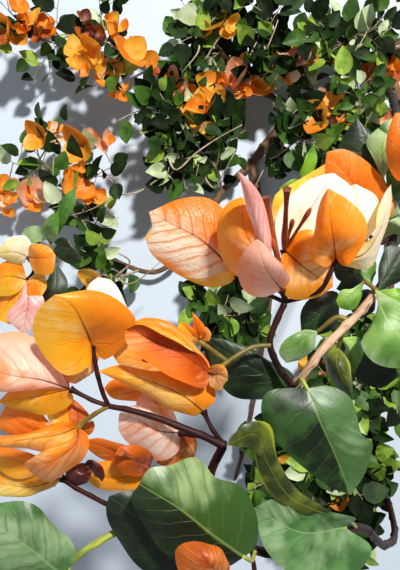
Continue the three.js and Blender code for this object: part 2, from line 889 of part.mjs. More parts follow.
        left: [[200, 334, 341], [203, 327, 342]],
        right: [[208, 342, 338], [211, 334, 340]],
      },
      {
        rib: [[188, 338, 338], [180, 337, 337]],
        left: [[190, 344, 336], [183, 343, 336]],
        right: [[190, 334, 339], [182, 331, 338]],
      },
    ],
  },
  // Far left, half way down
  bloom_far_left: {
    stalk: [[33, 264, 231], [30, 261, 238], [28, 257, 242]],
    rows: PLAIN_ROWS,
    bracts: [
      {
        rib: [[14, 252, 248], [-4, 254, 246]],
        left: [[24, 263, 240], [8, 262, 242]],
        right: [[26, 240, 248], [8, 240, 250]],
      },
      {
        rib: [[42, 258, 250], [56, 256, 250]],
        left: [[30, 245, 248], [48, 246, 250]],
        right: [[34, 272, 244], [52, 273, 246]],
      },
      {
        rib: [[22, 245, 240], [14, 236, 240]],
        left: [[12, 250, 240], [5, 240, 240]],
        right: [[32, 247, 240], [26, 236, 240]],
      },
    ],
  },
  bloom_far_left_low: {
    stalk: [[34, 260, 226], [33, 272, 228], [27, 280, 232]],
    rows: PLAIN_ROWS,
    bracts: [
      {
        rib: [[8, 276, 240], [-8, 282, 238]],
        left: [[18, 292, 234], [-2, 296, 236]],
        right: [[20, 262, 240], [0, 264, 240]],
      },
      {
        rib: [[28, 305, 240], [22, 334, 238]],
        left: [[44, 300, 236], [40, 322, 236]],
        right: [[14, 306, 238], [6, 316, 240]],
      },
      {
        rib: [[10, 300, 230], [-2, 320, 228]],
        left: [[22, 305, 230], [14, 324, 228]],
        right: [[8, 286, 230], [-6, 300, 228]],
      },
      {
        rib: [[38, 280, 238], [42, 296, 236]],
        left: [[42, 270, 236], [47, 286, 236]],
        right: [[27, 290, 238], [33, 300, 237]],
      },
    ],
  },
  // Half off the lower edge of the view
  bloom_low_edge: {
    stalk: [[252, 550, 334], [254, 578, 345], [240, 588, 362], [226, 580, 371]],
    bracts: [
      {
        rib: [[205, 560, 380], [194, 541, 376]],
        left: [[206, 580, 376], [180, 572, 374], [174, 553, 374], [182, 544, 375]],
        right: [[230, 565, 374], [220, 550, 374], [207, 543, 375]],
      },
    ],
  },
};
for (const [name, bloom] of Object.entries(blooms)) addNode(name, bloomParts(bloom), BRACT);

// The broad leaves, each on its own stalk, and the leafy twigs of the shoots

function leafParts({ stalk, ...leaf }) {
  const points = places(stalk);
  return [
    limb(points, PETIOLE_RADIUS, PETIOLE_TIP_RADIUS, PETIOLE_FACETS),
    sheet(pointNearEnd(smoothLine(points)), leaf, LEAF_THICK, FINE_ROWS),
  ];
}

const youngShoot = [seen(150, 521, 334), seen(119, 531, 341), seen(90, 547, 344), seen(66, 566, 342)];
addNode("young_shoot", [limb(youngShoot, ...YOUNG_SHOOT_RADII, YOUNG_SHOOT_FACETS)], LEAF);

const leaves = {
  leaf_low_front: {
    stalk: [[255, 550, 334], [252, 560, 346], [244, 557, 358]],
    rib: [[213, 535, 364], [180, 509, 368], [139, 484, 368]],
    left: [[225, 568, 356], [175, 558, 360], [143, 526, 364], [131, 500, 366]],
    right: [
      [256, 545, 352],
      [256, 512, 356],
      [240, 485, 360],
      [214, 477, 362],
      [196, 457, 364],
      [170, 465, 364],
      [149, 469, 366],
    ],
  },
  leaf_low_dark: {
    stalk: [[226, 528, 338], [232, 540, 345], [228, 548, 350]],
    rib: [[180, 540, 350], [140, 519, 352], [109, 496, 352]],
    left: [[210, 575, 346], [150, 572, 346], [112, 532, 348], [106, 508, 351]],
    right: [[200, 510, 346], [150, 489, 348], [125, 491, 351]],
  },
  leaf_low_corner: {
    stalk: [[68, 564, 342], [68, 574, 347], [62, 576, 352]],
    rib: [[25, 545, 360], [-26, 512, 358]],
    left: [[40, 592, 350], [-10, 585, 350], [-32, 545, 355]],
    right: [[76, 552, 350], [50, 519, 354], [26, 502, 357], [-5, 504, 358]],
  },
  leaf_right_large: {
    stalk: [[298, 382, 342], [302, 380, 350], [308, 390, 352]],
    rib: [[318, 416, 356], [334, 452, 352], [351, 495, 344]],
    left: [[330, 386, 351], [351, 398, 352], [360, 433, 352], [373, 443, 350], [366, 472, 346]],
    right: [
      [290, 388, 350],
      [266, 393, 350],
      [261, 412, 352],
      [272, 436, 352],
      [298, 462, 350],
      [330, 487, 346],
    ],
  },
  leaf_olive: {
    stalk: [[356, 528, 292], [352, 523, 308], [345, 519, 322]],
    rib: [[318, 511, 334], [288, 495, 344], [267, 462, 352], [255, 434, 361], [227, 445, 362]],
    left: [[320, 516, 331], [284, 506, 340], [261, 480, 348], [251, 450, 357], [240, 447, 361]],
    right: [[322, 506, 334], [298, 490, 342], [277, 457, 350], [267, 423, 356], [243, 425, 362]],
  },
  leaf_low_right: {
    stalk: [[340, 534, 302], [346, 532, 312], [345, 527, 318]],
    rib: [[300, 532, 337], [254, 508, 342]],
    left: [[372, 548, 322], [352, 576, 327], [300, 578, 338], [266, 550, 342]],
    right: [[356, 518, 326], [334, 514, 330], [302, 513, 338], [274, 499, 342]],
  },
  leaf_centre_dark: {
    stalk: [[300, 380, 341], [300, 388, 336], [296, 392, 332]],
    rib: [[250, 367, 338], [203, 337, 336]],
    left: [[270, 400, 330], [230, 393, 332], [207, 363, 334]],
    right: [[292, 374, 332], [262, 355, 336], [226, 340, 337]],
  },
};
for (const [name, leaf] of Object.entries(leaves)) addNode(name, leafParts(leaf), LEAF);

// A leafy twig: one short stem off a shoot, with a leaf at each share of its length that is listed.
function leafyTwigParts({ stem, leaves: twigLeaves }) {
  const points = places(stem);
  const line = smoothLine(points);
  return [
    limb(points, ...LEAFY_TWIG_RADII, LEAFY_TWIG_FACETS),
    ...twigLeaves.map(({ at, ...leaf }) => {
      const root = at === 1 ? pointNearEnd(line) : line.getPointAt(at);
      return sheet(root, leaf, LEAF_THICK, PLAIN_ROWS);
    }),
  ];
}

const leafyTwigs = {
  leafy_twig_low: {
    stem: [[350, 322, 334], [338, 317, 333], [318, 331, 329]],
    leaves: [
      {
        at: 1,
        rib: [[300, 344, 335], [286, 363, 330]],
        left: [[314, 347, 328], [300, 360, 328]],
        right: [[303, 330, 334], [284, 341, 334], [279, 353, 332]],
      },
      {
        at: 0.3,
        rib: [[325, 312, 322], [301, 332, 318]],
        left: [[332, 330, 318], [312, 336, 316]],
        right: [[336, 291, 322], [312, 297, 320], [301, 312, 318]],
      },
    ],
  },
  leafy_twig_middle: {
    stem: [[342, 330, 337], [341, 338, 333], [338, 347, 331]],
    leaves: [
      {
        at: 1,
        rib: [[337, 365, 340], [353, 400, 334]],
        left: [[345, 354, 336], [352, 378, 336]],
        right: [[326, 352, 332], [326, 369, 332], [340, 388, 332]],
      },
      {
        at: 0.5,
        rib: [[353, 350, 332], [354, 374, 328]],
        left: [[358, 338, 329], [363, 356, 328]],
        right: [[344, 350, 328], [345, 366, 327]],
      },
      {
        at: 0.7,
        rib: [[366, 366, 320], [400, 376, 318]],
        left: [[364, 352, 320], [388, 360, 319]],
        right: [[352, 374, 318], [380, 388, 317]],
      },
    ],
  },
  leafy_twig_right: {
    stem: [[378, 292, 329], [371, 286, 332], [364, 281, 334]],
    leaves: [
      {
        at: 1,
        rib: [[351, 296, 338], [336, 301, 336]],
        left: [[360, 300, 334], [352, 310, 336], [340, 308, 336]],
        right: [[352, 288, 337], [340, 292, 336]],
      },
      {
        at: 0.9,
        rib: [[350, 281, 326], [336, 289, 324]],
        left: [[357, 291, 324], [345, 293, 324]],
        right: [[359, 273, 326], [345, 277, 325]],
      },
      {
        at: 0.3,
        rib: [[386, 318, 344], [402, 340, 347], [414, 366, 340]],
        left: [[396, 300, 340], [425, 320, 341], [428, 350, 340]],
        right: [[381, 306, 338], [369, 327, 341], [361, 343, 342], [372, 361, 343], [395, 368, 341]],
      },
      {
        at: 0.1,
        rib: [[395, 299, 334], [418, 302, 332]],
        left: [[388, 289, 332], [410, 291, 331]],
        right: [[387, 305, 332], [408, 312, 330]],
      },
      {
        at: 0.05,
        rib: [[392, 268, 328], [404, 247, 326]],
        left: [[380, 262, 326], [388, 246, 326]],
        right: [[403, 279, 326], [410, 260, 326]],
      },
    ],
  },
  leafy_twig_upper: {
    stem: [[397, 214, 288], [390, 200, 302], [382, 178, 316]],
    leaves: [
      {
        at: 1,
        rib: [[369, 150, 324], [357, 118, 324]],
        left: [[352, 176, 318], [338, 150, 320], [346, 132, 322]],
        right: [[386, 160, 321], [370, 132, 323]],
      },
      {
        at: 0.95,
        rib: [[381, 152, 328], [378, 128, 330]],
        left: [[373, 158, 326], [366, 141, 328]],
        right: [[391, 160, 326], [390, 138, 328]],
      },
      {
        at: 0.7,
        rib: [[396, 150, 318], [392, 118, 318]],
        left: [[384, 150, 316], [380, 126, 317]],
        right: [[408, 160, 314], [406, 130, 316]],
      },
      {
        at: 0.2,
        rib: [[398, 226, 304], [382, 244, 304]],
        left: [[404, 238, 302], [392, 250, 302]],
        right: [[386, 220, 304], [380, 234, 304]],
      },
      {
        at: 0.4,
        rib: [[376, 214, 300], [352, 205, 298]],
        left: [[376, 228, 298], [358, 222, 298]],
        right: [[378, 200, 300], [360, 194, 299]],
      },
      {
        at: 0.1,
        rib: [[397, 206, 306], [385, 213, 308]],
        left: [[399, 214, 304], [390, 218, 306]],
        right: [[394, 200, 306], [387, 205, 307]],
      },
      {
        at: 0.3,
        rib: [[402, 188, 312], [398, 172, 314]],
        left: [[392, 190, 310], [390, 178, 312]],
        right: [[410, 192, 310], [408, 178, 312]],
      },
    ],
  },
  leafy_twig_back: {
    stem: [[399, 158, 235], [372, 172, 262], [332, 187, 280], [304, 181, 288]],
    leaves: [
      {
        at: 1,
        rib: [[308, 165, 292], [314, 143, 294]],
        left: [[300, 172, 292], [307, 155, 294]],
        right: [[312, 175, 290], [317, 158, 292]],
      },
      {
        at: 0.97,
        rib: [[292, 184, 291], [279, 189, 290]],
        left: [[295, 190, 289], [284, 191, 290]],
        right: [[294, 179, 291], [284, 184, 291]],
      },
      {
        at: 0.55,
        rib: [[342, 206, 268], [330, 218, 264]],
        left: [[352, 214, 264], [342, 224, 262]],
        right: [[334, 198, 270], [322, 206, 266]],
      },
      {
        at: 0.4,
        rib: [[362, 150, 268], [356, 130, 268]],
        left: [[352, 158, 266], [346, 140, 266]],
        right: [[374, 154, 266], [370, 136, 266]],
      },
    ],
  },
  leafy_twig_left: {
    stem: [[42, 236, 150], [50, 242, 186], [56, 262, 205]],
    leaves: [
      {
        at: 1,
        rib: [[54, 290, 212], [34, 312, 210]],
        left: [[68, 284, 208], [58, 304, 208], [44, 312, 208]],
        right: [[44, 284, 210], [32, 300, 210]],
      },
      {
        at: 0.6,
        rib: [[48, 226, 204], [58, 212, 208]],
        left: [[42, 232, 202], [49, 216, 206]],
        right: [[57, 238, 202], [59, 222, 206]],
      },
      {
        at: 0.8,
        rib: [[66, 248, 206], [82, 262, 204]],
        left: [[64, 238, 206], [78, 250, 205]],
        right: [[56, 256, 204], [70, 264, 203]],
      },
      {
        at: 0.45,
        rib: [[36, 232, 196], [20, 236, 196]],
        left: [[38, 242, 194], [26, 244, 195]],
        right: [[40, 226, 196], [26, 228, 196]],
      },
      {
        at: 0.7,
        rib: [[64, 210, 204], [76, 188, 204]],
        left: [[56, 214, 203], [66, 194, 204]],
        right: [[68, 218, 203], [76, 202, 204]],
      },
    ],
  },
};
for (const [name, twig] of Object.entries(leafyTwigs)) addNode(name, leafyTwigParts(twig), LEAF);

// The low sprays. Side twigs and leaves stand on alternate sides by a seeded rule, and small blooms
// sit where they are listed. A twig or leaf that would touch something else is left out, and a leaf
// is turned a few times first.

const STEM_RADII = [1.6, 1.1];
const SIDE_TWIG_RADII = [1, 0.8];
const SMALL_STALK_RADIUS = 0.9;
const SMALL_LEAF_WIDTH_SHARE = 0.68;
const SMALL_BRACT_WIDTH_SHARE = 0.8;
const LEAF_STEP = 36;
const LEAF_TRIES = 4;
const STALK_STEPS = 20;
const STALK_BEND = 0.4;
const TWIG_RISE = 4;
const TWIG_LEAF_SHARE = 0.9;
const TWIG_SHARES = [0.3, 0.55, 0.8];
const LEAF_SEED = 1000;
const BLOOM_SEED = 2000;

// The direction a leaf or twig leaves a stem: turned to one side about the upright, then raised.
function sideways(direction, turnDegrees, riseDegrees) {
  const flat = new THREE.Vector3(direction.x, direction.y, 0).normalize();
  flat.applyAxisAngle(new THREE.Vector3(0, 0, 1), THREE.MathUtils.degToRad(turnDegrees));
  const rise = THREE.MathUtils.degToRad(riseDegrees);
  return flat.multiplyScalar(Math.cos(rise)).setZ(Math.sin(rise));
}

function leafOn(line, share, turn, size, random) {
  const root = share === 1 ? pointNearEnd(line) : line.getPointAt(share);
  const heading = sideways(line.getTangentAt(share), turn, between(random, -15, 45));
  const length = size * between(random, 0.75, 1.2);
  const shape = {
    root,
    tip: root.clone().addScaledVector(heading, length),
    width: length * SMALL_LEAF_WIDTH_SHARE,
    thick: SMALL_BLADE_THICK,
    roll: between(random, -50, 50),
    cup: 18,
    curl: 24,
  };
  return blade(shape, LEAF_OUTLINE);
}

function addLeavesAlong(line, size, random, spray) {
  const count = Math.max(2, Math.round(line.getLength() / LEAF_STEP));
  const reach = 1 - SUNK / line.getLength();
  for (let i = 1; i <= count; i++) {
    const hand = i % 2 ? 1 : -1;
    for (let attempt = 0; attempt < LEAF_TRIES; attempt++) {
      const turn = i === count ? between(random, -30, 30) : hand * between(random, 40, 90);
      if (spray.takes(leafOn(line, (i / count) * reach, turn, size, random))) break;
    }
  }
}

// A small bloom faces up and a little aside. Its three bracts lean out from its root, near its middle.
function smallBracts(root, centre, random) {
  const facing = new THREE.Vector3(between(random, -0.6, 0.6), between(random, -0.6, 0.6), 1);
  facing.normalize();
  const acrossFacing = new THREE.Vector3(1, 0, 0).cross(facing).normalize();
  const start = between(random, 0, 360);
  return [0, 120, 240].map((turn) => {
    const out = acrossFacing
      .clone()
      .applyAxisAngle(facing, THREE.MathUtils.degToRad(start + turn));
    const opening = THREE.MathUtils.degToRad(between(random, 50, 75));
    const size = SMALL_BRACT * between(random, 0.85, 1.15);
    const heading = facing
      .clone()
      .multiplyScalar(Math.cos(opening))
      .addScaledVector(out, Math.sin(opening));
    const shape = {
      root,
      tip: centre.clone().addScaledVector(heading, size),
      width: size * SMALL_BRACT_WIDTH_SHARE,
      thick: SMALL_BLADE_THICK,
      cup: 30,
      curl: -20,
      face: facing,
    };
    return blade(shape, BRACT_OUTLINE);
  });
}

function nearestOn(line, place) {
  let nearest = line.getPointAt(0);
  for (let i = 1; i <= STALK_STEPS; i++) {
    const point = line.getPointAt(i / STALK_STEPS);
    if (point.distanceTo(place) < nearest.distanceTo(place)) nearest = point;
  }
  return nearest;
}

// The side twigs of a spray's stem, each as the points it passes through.
function sideTwigs(line, random) {
  return TWIG_SHARES.map((share, i) => {
    const from = line.getPointAt(share);
    const turn = (i % 2 ? 1 : -1) * between(random, 45, 70);
    const heading = sideways(line.getTangentAt(share), turn, between(random, 0, 35));
    const end = from.clone().addScaledVector(heading, between(random, 34, 54));
    const middle = from.clone().lerp(end, 0.5).setZ((from.z + end.z) / 2 + TWIG_RISE);
    return [from, middle, end];
  });
}

function addSpray(name, { seed, stem, blooms: bloomPlaces = [] }) {
  const line = smoothLine(stem);
  const parts = [limb(stem, ...STEM_RADII, SPRAY_STEM_FACETS)];
  const blades = [];
  const spray = {
    takes(part) {
      const solid = part(CLEARANCE);
      if (isBlocked(part) || blades.some((other) => meet(solid, other))) return false;
      parts.push(part);
      blades.push(part(0));
      return true;
    },
  };
  const bloomRandom = seeded(seed + BLOOM_SEED);
  for (const centre of bloomPlaces) {
    const from = nearestOn(line, centre);
    const bloomStalk = [from, centre.clone().lerp(from, STALK_BEND), centre];
    parts.push(limb(bloomStalk, SMALL_STALK_RADIUS, SMALL_STALK_RADIUS, SPRAY_STALK_FACETS));
    const root = pointNearEnd(smoothLine(bloomStalk));
    const bracts = smallBracts(root, centre, bloomRandom).filter((bract) => !isBlocked(bract));
    parts.push(...bracts);
    blades.push(...bracts.map((bract) => bract(0)));
  }
  const leafRandom = seeded(seed + LEAF_SEED);
  addLeavesAlong(line, SMALL_LEAF, leafRandom, spray);
  for (const twig of sideTwigs(line, seeded(seed))) {
    const twigLimb = limb(twig, ...SIDE_TWIG_RADII, SPRAY_TWIG_FACETS);
    if (isBlocked(twigLimb)) continue;
    parts.push(twigLimb);
    addLeavesAlong(smoothLine(twig), SMALL_LEAF * TWIG_LEAF_SHARE, leafRandom, spray);
  }
  addNode(name, parts, SPRAY);
}

addSpray("spray_top_right", {
  seed: 11,
  stem: [seen(352, 75, 9), seen(345, 55, 40), seen(352, 38, 70), seen(376, 28, 92)],
  blooms: [seen(372, 74, 62), seen(331, 60, 60)],
});
addSpray("spray_top_middle", {
  seed: 12,
  stem: [seen(318, 97, 9), seen(305, 74, 36), seen(285, 50, 60), seen(254, 36, 76)],
  blooms: [seen(271, 86, 56), seen(296, 58, 66)],
});
addSpray("spray_top_centre", {
  seed: 13,
  stem: [seen(245, 84, 20), seen(232, 66, 44), seen(218, 46, 66), seen(196, 32, 84)],
  blooms: [seen(240, 82, 62), seen(217, 26, 76)],
});
addSpray("spray_upper_centre", {
  seed: 14,
  stem: [seen(208, 72, 24), seen(204, 92, 44), seen(194, 112, 58), seen(172, 132, 66)],
  blooms: [seen(206, 110, 72), seen(176, 92, 60)],
});
addSpray("spray_top_left", {
  seed: 15,
  stem: [seen(148, 66, 7), seen(130, 56, 34), seen(112, 46, 58), seen(92, 34, 72)],
  blooms: [seen(96, 50, 84), seen(130, 56, 66), seen(108, 76, 52), seen(156, 67, 44)],
});
addSpray("spray_corner_left", {
  seed: 16,
  stem: [seen(107, 53, 2), seen(76, 48, 26), seen(42, 40, 48), seen(12, 34, 64)],
  blooms: [seen(8, 28, 76)],
});
addSpray("spray_left_upper", {
  seed: 17,
  stem: [seen(99, 249, 10), seen(90, 226, 40), seen(84, 196, 62), seen(80, 164, 76)],
  blooms: [seen(82, 146, 82), seen(76, 188, 74)],
});
addSpray("spray_left_edge", {
  seed: 18,
  stem: [seen(64, 193, 2), seen(52, 184, 26), seen(42, 166, 42), seen(36, 146, 52)],
  blooms: [seen(42, 137, 60), seen(28, 197, 42)],
});
addSpray("spray_middle", {
  seed: 19,
  stem: [seen(222, 192, 14), seen(216, 168, 42), seen(198, 152, 62), seen(168, 158, 72)],
});
addSpray("spray_centre", {
  seed: 20,
  stem: [seen(264, 148, 6), seen(272, 158, 34), seen(290, 146, 58), seen(312, 126, 74)],
  blooms: [seen(321, 118, 82)],
});
addSpray("spray_right_middle", {
  seed: 21,
  stem: [seen(401, 128, 13), seen(388, 130, 42), seen(368, 124, 66), seen(344, 108, 84)],
});
addSpray("spray_low_centre", {
  seed: 22,
  stem: [seen(268, 308, 19), seen(256, 306, 40), seen(242, 312, 56), seen(222, 326, 66)],
});
addSpray("spray_right_upper", {
  seed: 23,
  stem: [seen(389, 310, 14), seen(374, 338, 46), seen(364, 372, 72), seen(356, 404, 90)],
  blooms: [seen(320, 373, 84)],
});
addSpray("spray_right_lower", {
  seed: 24,
  stem: [seen(379, 412, 7), seen(368, 430, 40), seen(356, 454, 72), seen(350, 482, 96)],
});
addSpray("spray_right_corner", {
  seed: 25,
  stem: [seen(375, 506, 3), seen(360, 500, 32), seen(344, 512, 56), seen(322, 530, 76)],
  blooms: [seen(336, 488, 70)],
});
addSpray("spray_low_left", {
  seed: 26,
  stem: [seen(140, 270, 18), seen(122, 276, 46), seen(106, 276, 78), seen(92, 270, 104)],
  blooms: [seen(97, 281, 116)],
});
addSpray("spray_bottom", {
  seed: 27,
  stem: [seen(243, 450, 4), seen(252, 452, 30), seen(266, 462, 52), seen(282, 480, 70)],
  blooms: [seen(300, 462, 84)],
});

export default bough;
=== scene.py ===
"""The flowering bougainvillea bough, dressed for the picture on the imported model's frame.

Stems get bark with relief, every bract and broad leaf gets its veins and curled edge, and the low
sprays grow on by the same seeded rule as the solids do, to finer twigs, more leaves and small blooms.
Places and sizes are in millimetres, and become metres when a mesh is made.
"""

import math

import bpy
import numpy as np
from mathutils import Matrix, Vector


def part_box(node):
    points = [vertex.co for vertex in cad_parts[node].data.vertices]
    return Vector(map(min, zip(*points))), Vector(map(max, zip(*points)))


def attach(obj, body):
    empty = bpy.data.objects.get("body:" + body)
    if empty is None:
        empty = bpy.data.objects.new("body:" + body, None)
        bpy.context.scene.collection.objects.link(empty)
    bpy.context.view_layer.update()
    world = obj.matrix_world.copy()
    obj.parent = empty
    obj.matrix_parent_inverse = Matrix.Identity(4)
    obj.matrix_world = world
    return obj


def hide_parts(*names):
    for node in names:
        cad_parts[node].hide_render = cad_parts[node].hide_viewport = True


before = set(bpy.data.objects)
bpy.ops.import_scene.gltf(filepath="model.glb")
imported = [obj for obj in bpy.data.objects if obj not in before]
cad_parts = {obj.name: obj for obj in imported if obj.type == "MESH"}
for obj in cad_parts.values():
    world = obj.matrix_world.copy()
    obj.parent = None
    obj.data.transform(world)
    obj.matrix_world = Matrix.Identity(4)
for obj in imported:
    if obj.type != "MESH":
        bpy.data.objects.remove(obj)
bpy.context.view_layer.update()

MM = 0.001
BODY = "root"
PATTERN = "pattern"
GROUND_GAP = 0.05

# The camera, straight above the bough

EYE = np.array([-14.4, -11.1, 560.0])
VIEW_ACROSS, VIEW_DOWN, VIEW_FOCAL = 200, 285, 476
PICTURE_HEIGHT = 570
SENSOR = 36


def seen(across, down, height):
    """The place at a height that shows at this spot of the picture."""
    scale = (EYE[2] - height) / VIEW_FOCAL
    return np.array([
        EYE[0] + (across - VIEW_ACROSS) * scale,
        EYE[1] - (down - VIEW_DOWN) * scale,
        height,
    ])


def placed(points):
    """Points given as [across, down, height]: where each shows in the picture, and its height."""
    return [seen(*point) for point in points]


def make_camera():
    """The camera that looks straight down from the eye."""
    data = bpy.data.cameras.new("camera")
    data.sensor_width = SENSOR
    data.lens = SENSOR * VIEW_FOCAL / PICTURE_HEIGHT
    data.clip_start = 0.01
    camera = bpy.data.objects.new("camera", data)
    camera.location = Vector(EYE * MM)
    bpy.context.scene.collection.objects.link(camera)
    bpy.context.scene.camera = camera


make_camera()


# Vectors and random numbers

UP = np.array([0.0, 0.0, 1.0])


def unit(vector):
    return vector / np.linalg.norm(vector)


def turned(vector, axis, degrees):
    """vector turned about a unit axis."""
    angle = math.radians(degrees)
    return (
        vector * math.cos(angle)
        + np.cross(axis, vector) * math.sin(angle)
        + axis * np.dot(axis, vector) * (1 - math.cos(angle))
    )


FACTOR = 1664525
INCREMENT = 1013904223
MODULUS = 2**32


def seeded(seed):
    """The generator that the solids' rule uses."""
    state = seed

    def draw():
        nonlocal state
        state = (state * FACTOR + INCREMENT) % MODULUS
        return state / MODULUS

    return draw


def between(draw, low, high):
    return low + (high - low) * draw()


# Lines

class Line:
    """A smooth line through points, with the same bends as the solids' stems have."""

    PER_STRETCH = 24

    def __init__(self, points):
        points = [np.asarray(p, float) for p in points]
        first = 2 * points[0] - points[1]
        last = 2 * points[-1] - points[-2]
        held = [first, *points, last]
        dense = [points[0]]
        for p0, p1, p2, p3 in zip(held, held[1:], held[2:], held[3:]):
            dense.extend(self.stretch(p0, p1, p2, p3))
        self.dense = np.array(dense)
        steps = np.linalg.norm(np.diff(self.dense, axis=0), axis=1)
        self.reach = np.concatenate([[0], np.cumsum(steps)])
        self.length = self.reach[-1]

    def stretch(self, p0, p1, p2, p3):
        """Points from just past p1 up to p2, by a centripetal Catmull-Rom spline."""
        d0, d1, d2 = (math.sqrt(max(np.linalg.norm(b - a), 1e-6)) for a, b in ((p0, p1), (p1, p2), (p2, p3)))
        start = ((p1 - p0) / d0 - (p2 - p0) / (d0 + d1) + (p2 - p1) / d1) * d1
        end = ((p2 - p1) / d1 - (p3 - p1) / (d1 + d2) + (p3 - p2) / d2) * d1
        share = np.linspace(0, 1, self.PER_STRETCH + 1)[1:, None]
        return (
            (2 * share**3 - 3 * share**2 + 1) * p1
            + (share**3 - 2 * share**2 + share) * start
            + (3 * share**2 - 2 * share**3) * p2
            + (share**3 - share**2) * end
        )

    def at(self, share):
        goal = share * self.length
        return np.stack([np.interp(goal, self.reach, self.dense[:, i]) for i in range(3)], axis=-1)

    def heading(self, share):
        low, high = max(share - 0.01, 0), min(share + 0.01, 1)
        return unit(self.at(high) - self.at(low))

    def points(self, step):
        """Points about a step apart."""
        count = max(3, round(self.length / step) + 1)
        return np.array([self.at(share) for share in np.linspace(0, 1, count)])


# Meshes

class Shape:
    """Corners and faces gathered for one object, and where each corner lies on the material's pattern."""

    def __init__(self):
        self.corners = []
        self.places = []
        self.faces = []
        self.slots = []
        self.count = 0

    def add(self, corners, faces, places, slot):
        self.corners.append(corners)
        self.places.append(places)
        self.faces.extend([tuple(i + self.count for i in face) for face in faces])
        self.slots.extend([slot] * len(faces))
        self.count += len(corners)

    def make(self, name, materials, replaces=()):
        mesh = bpy.data.meshes.new(name)
        corners = np.concatenate(self.corners)
        corners[:, 2] = np.maximum(corners[:, 2], GROUND_GAP)
        corners *= MM
        mesh.from_pydata(corners.tolist(), [], self.faces)
        layer = mesh.uv_layers.new(name=PATTERN)
        corner_of_loop = np.empty(len(mesh.loops), dtype=np.int32)
        mesh.loops.foreach_get("vertex_index", corner_of_loop)
        places = np.concatenate(self.places)[corner_of_loop]
        layer.data.foreach_set("uv", places.astype(np.float32).ravel())
        mesh.polygons.foreach_set("use_smooth", [True] * len(mesh.polygons))
        mesh.polygons.foreach_set("material_index", self.slots)
        for material in materials:
            mesh.materials.append(material)
        mesh.update()
        piece = bpy.data.objects.new(name, mesh)
        bpy.context.scene.collection.objects.link(piece)
        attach(piece, BODY)
        if replaces:
            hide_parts(*replaces)


def grid_faces(rows, columns, closed=False):
    """Faces of a grid of corners that is stored row by row. A closed grid is a tube."""
    faces = []
    for row in range(rows - 1):
        for column in range(columns if closed else columns - 1):
            after = (column + 1) % columns
            low, high = row * columns, (row + 1) * columns
            faces.append((low + column, low + after, high + after, high + column))
    return faces


def side_frames(points):
    """Two directions across a line at each of its points, which don't spin along it."""
    along = np.gradient(points, axis=0)
    along /= np.linalg.norm(along, axis=1)[:, None]
    guide = UP if abs(along[0] @ UP) < 0.9 else np.array([1.0, 0.0, 0.0])
    across = unit(np.cross(along[0], guide))
    sides = []
    for direction in along:
        across = unit(across - direction * (across @ direction))
        sides.append((across, np.cross(direction, across)))
    return sides


# Millimetres along a tube for each unit of its pattern
PATTERN_LENGTH = 10


def add_tube(shape, points, radii, sides, relief=None, slot=0, cap_slot=None):
    """A round tube along points. relief(distance, angle) is a share of the radius added there."""
    distances = np.concatenate([[0], np.cumsum(np.linalg.norm(np.diff(points, axis=0), axis=1))])
    angles = np.linspace(0, 2 * math.pi, sides, endpoint=False)
    round_it = np.abs(angles / math.pi - 1)
    corners = []
    places = []
    for point, radius, distance, (right, over) in zip(points, radii, distances, side_frames(points)):
        bumps = relief(distance, angles) if relief else np.zeros(sides)
        reach = radius * (1 + bumps)
        ring = point + np.outer(reach * np.cos(angles), right) + np.outer(reach * np.sin(angles), over)
        corners.extend(ring)
        places.extend(np.stack([round_it, np.full(sides, distance / PATTERN_LENGTH)], axis=1))
    shape.add(np.array(corners), grid_faces(len(points), sides, closed=True), np.array(places), slot)
    for end, order in ((0, -1), (len(points) - 1, 1)):
        rim = np.array(corners[end * sides:(end + 1) * sides])
        cap = np.concatenate([[points[end]], rim])
        faces = [(0, 1 + k, 1 + (k + 1) % sides)[::order] for k in range(sides)]
        spokes = np.stack([np.cos(angles), np.sin(angles)], axis=1) / 2 + 0.5
        places_here = np.concatenate([[[0.5, 0.5]], spokes])
        shape.add(cap, faces, places_here, slot if cap_slot is None else cap_slot)


def add_pointed(shape, corners, places, ends, columns, slot):
    """Adds a grid of corners, stored row by row, that is closed to a point at its root and its tip."""
    wide = columns + 1
    count = len(corners)
    faces = [cell[::-1] for cell in grid_faces(count // wide, wide)]
    for k in range(columns):
        faces.append((count, k, k + 1))
        faces.append((count - wide + k, count + 1, count - wide + k + 1))
    corners = np.concatenate([corners, ends])
    places = np.concatenate([places, [[0.5, 0.0], [0.5, 1.0]]])
    shape.add(corners, faces, places, slot)


# A blade's side veins on each side, and how far out they drop back, as a share of its length
LATERALS = 7
LATERAL_SLANT = 0.34
FIELD_FULLNESS = 0.7
RIPPLES = 9
FINE_RIPPLES = 17
PHASES = (0, 6.3)


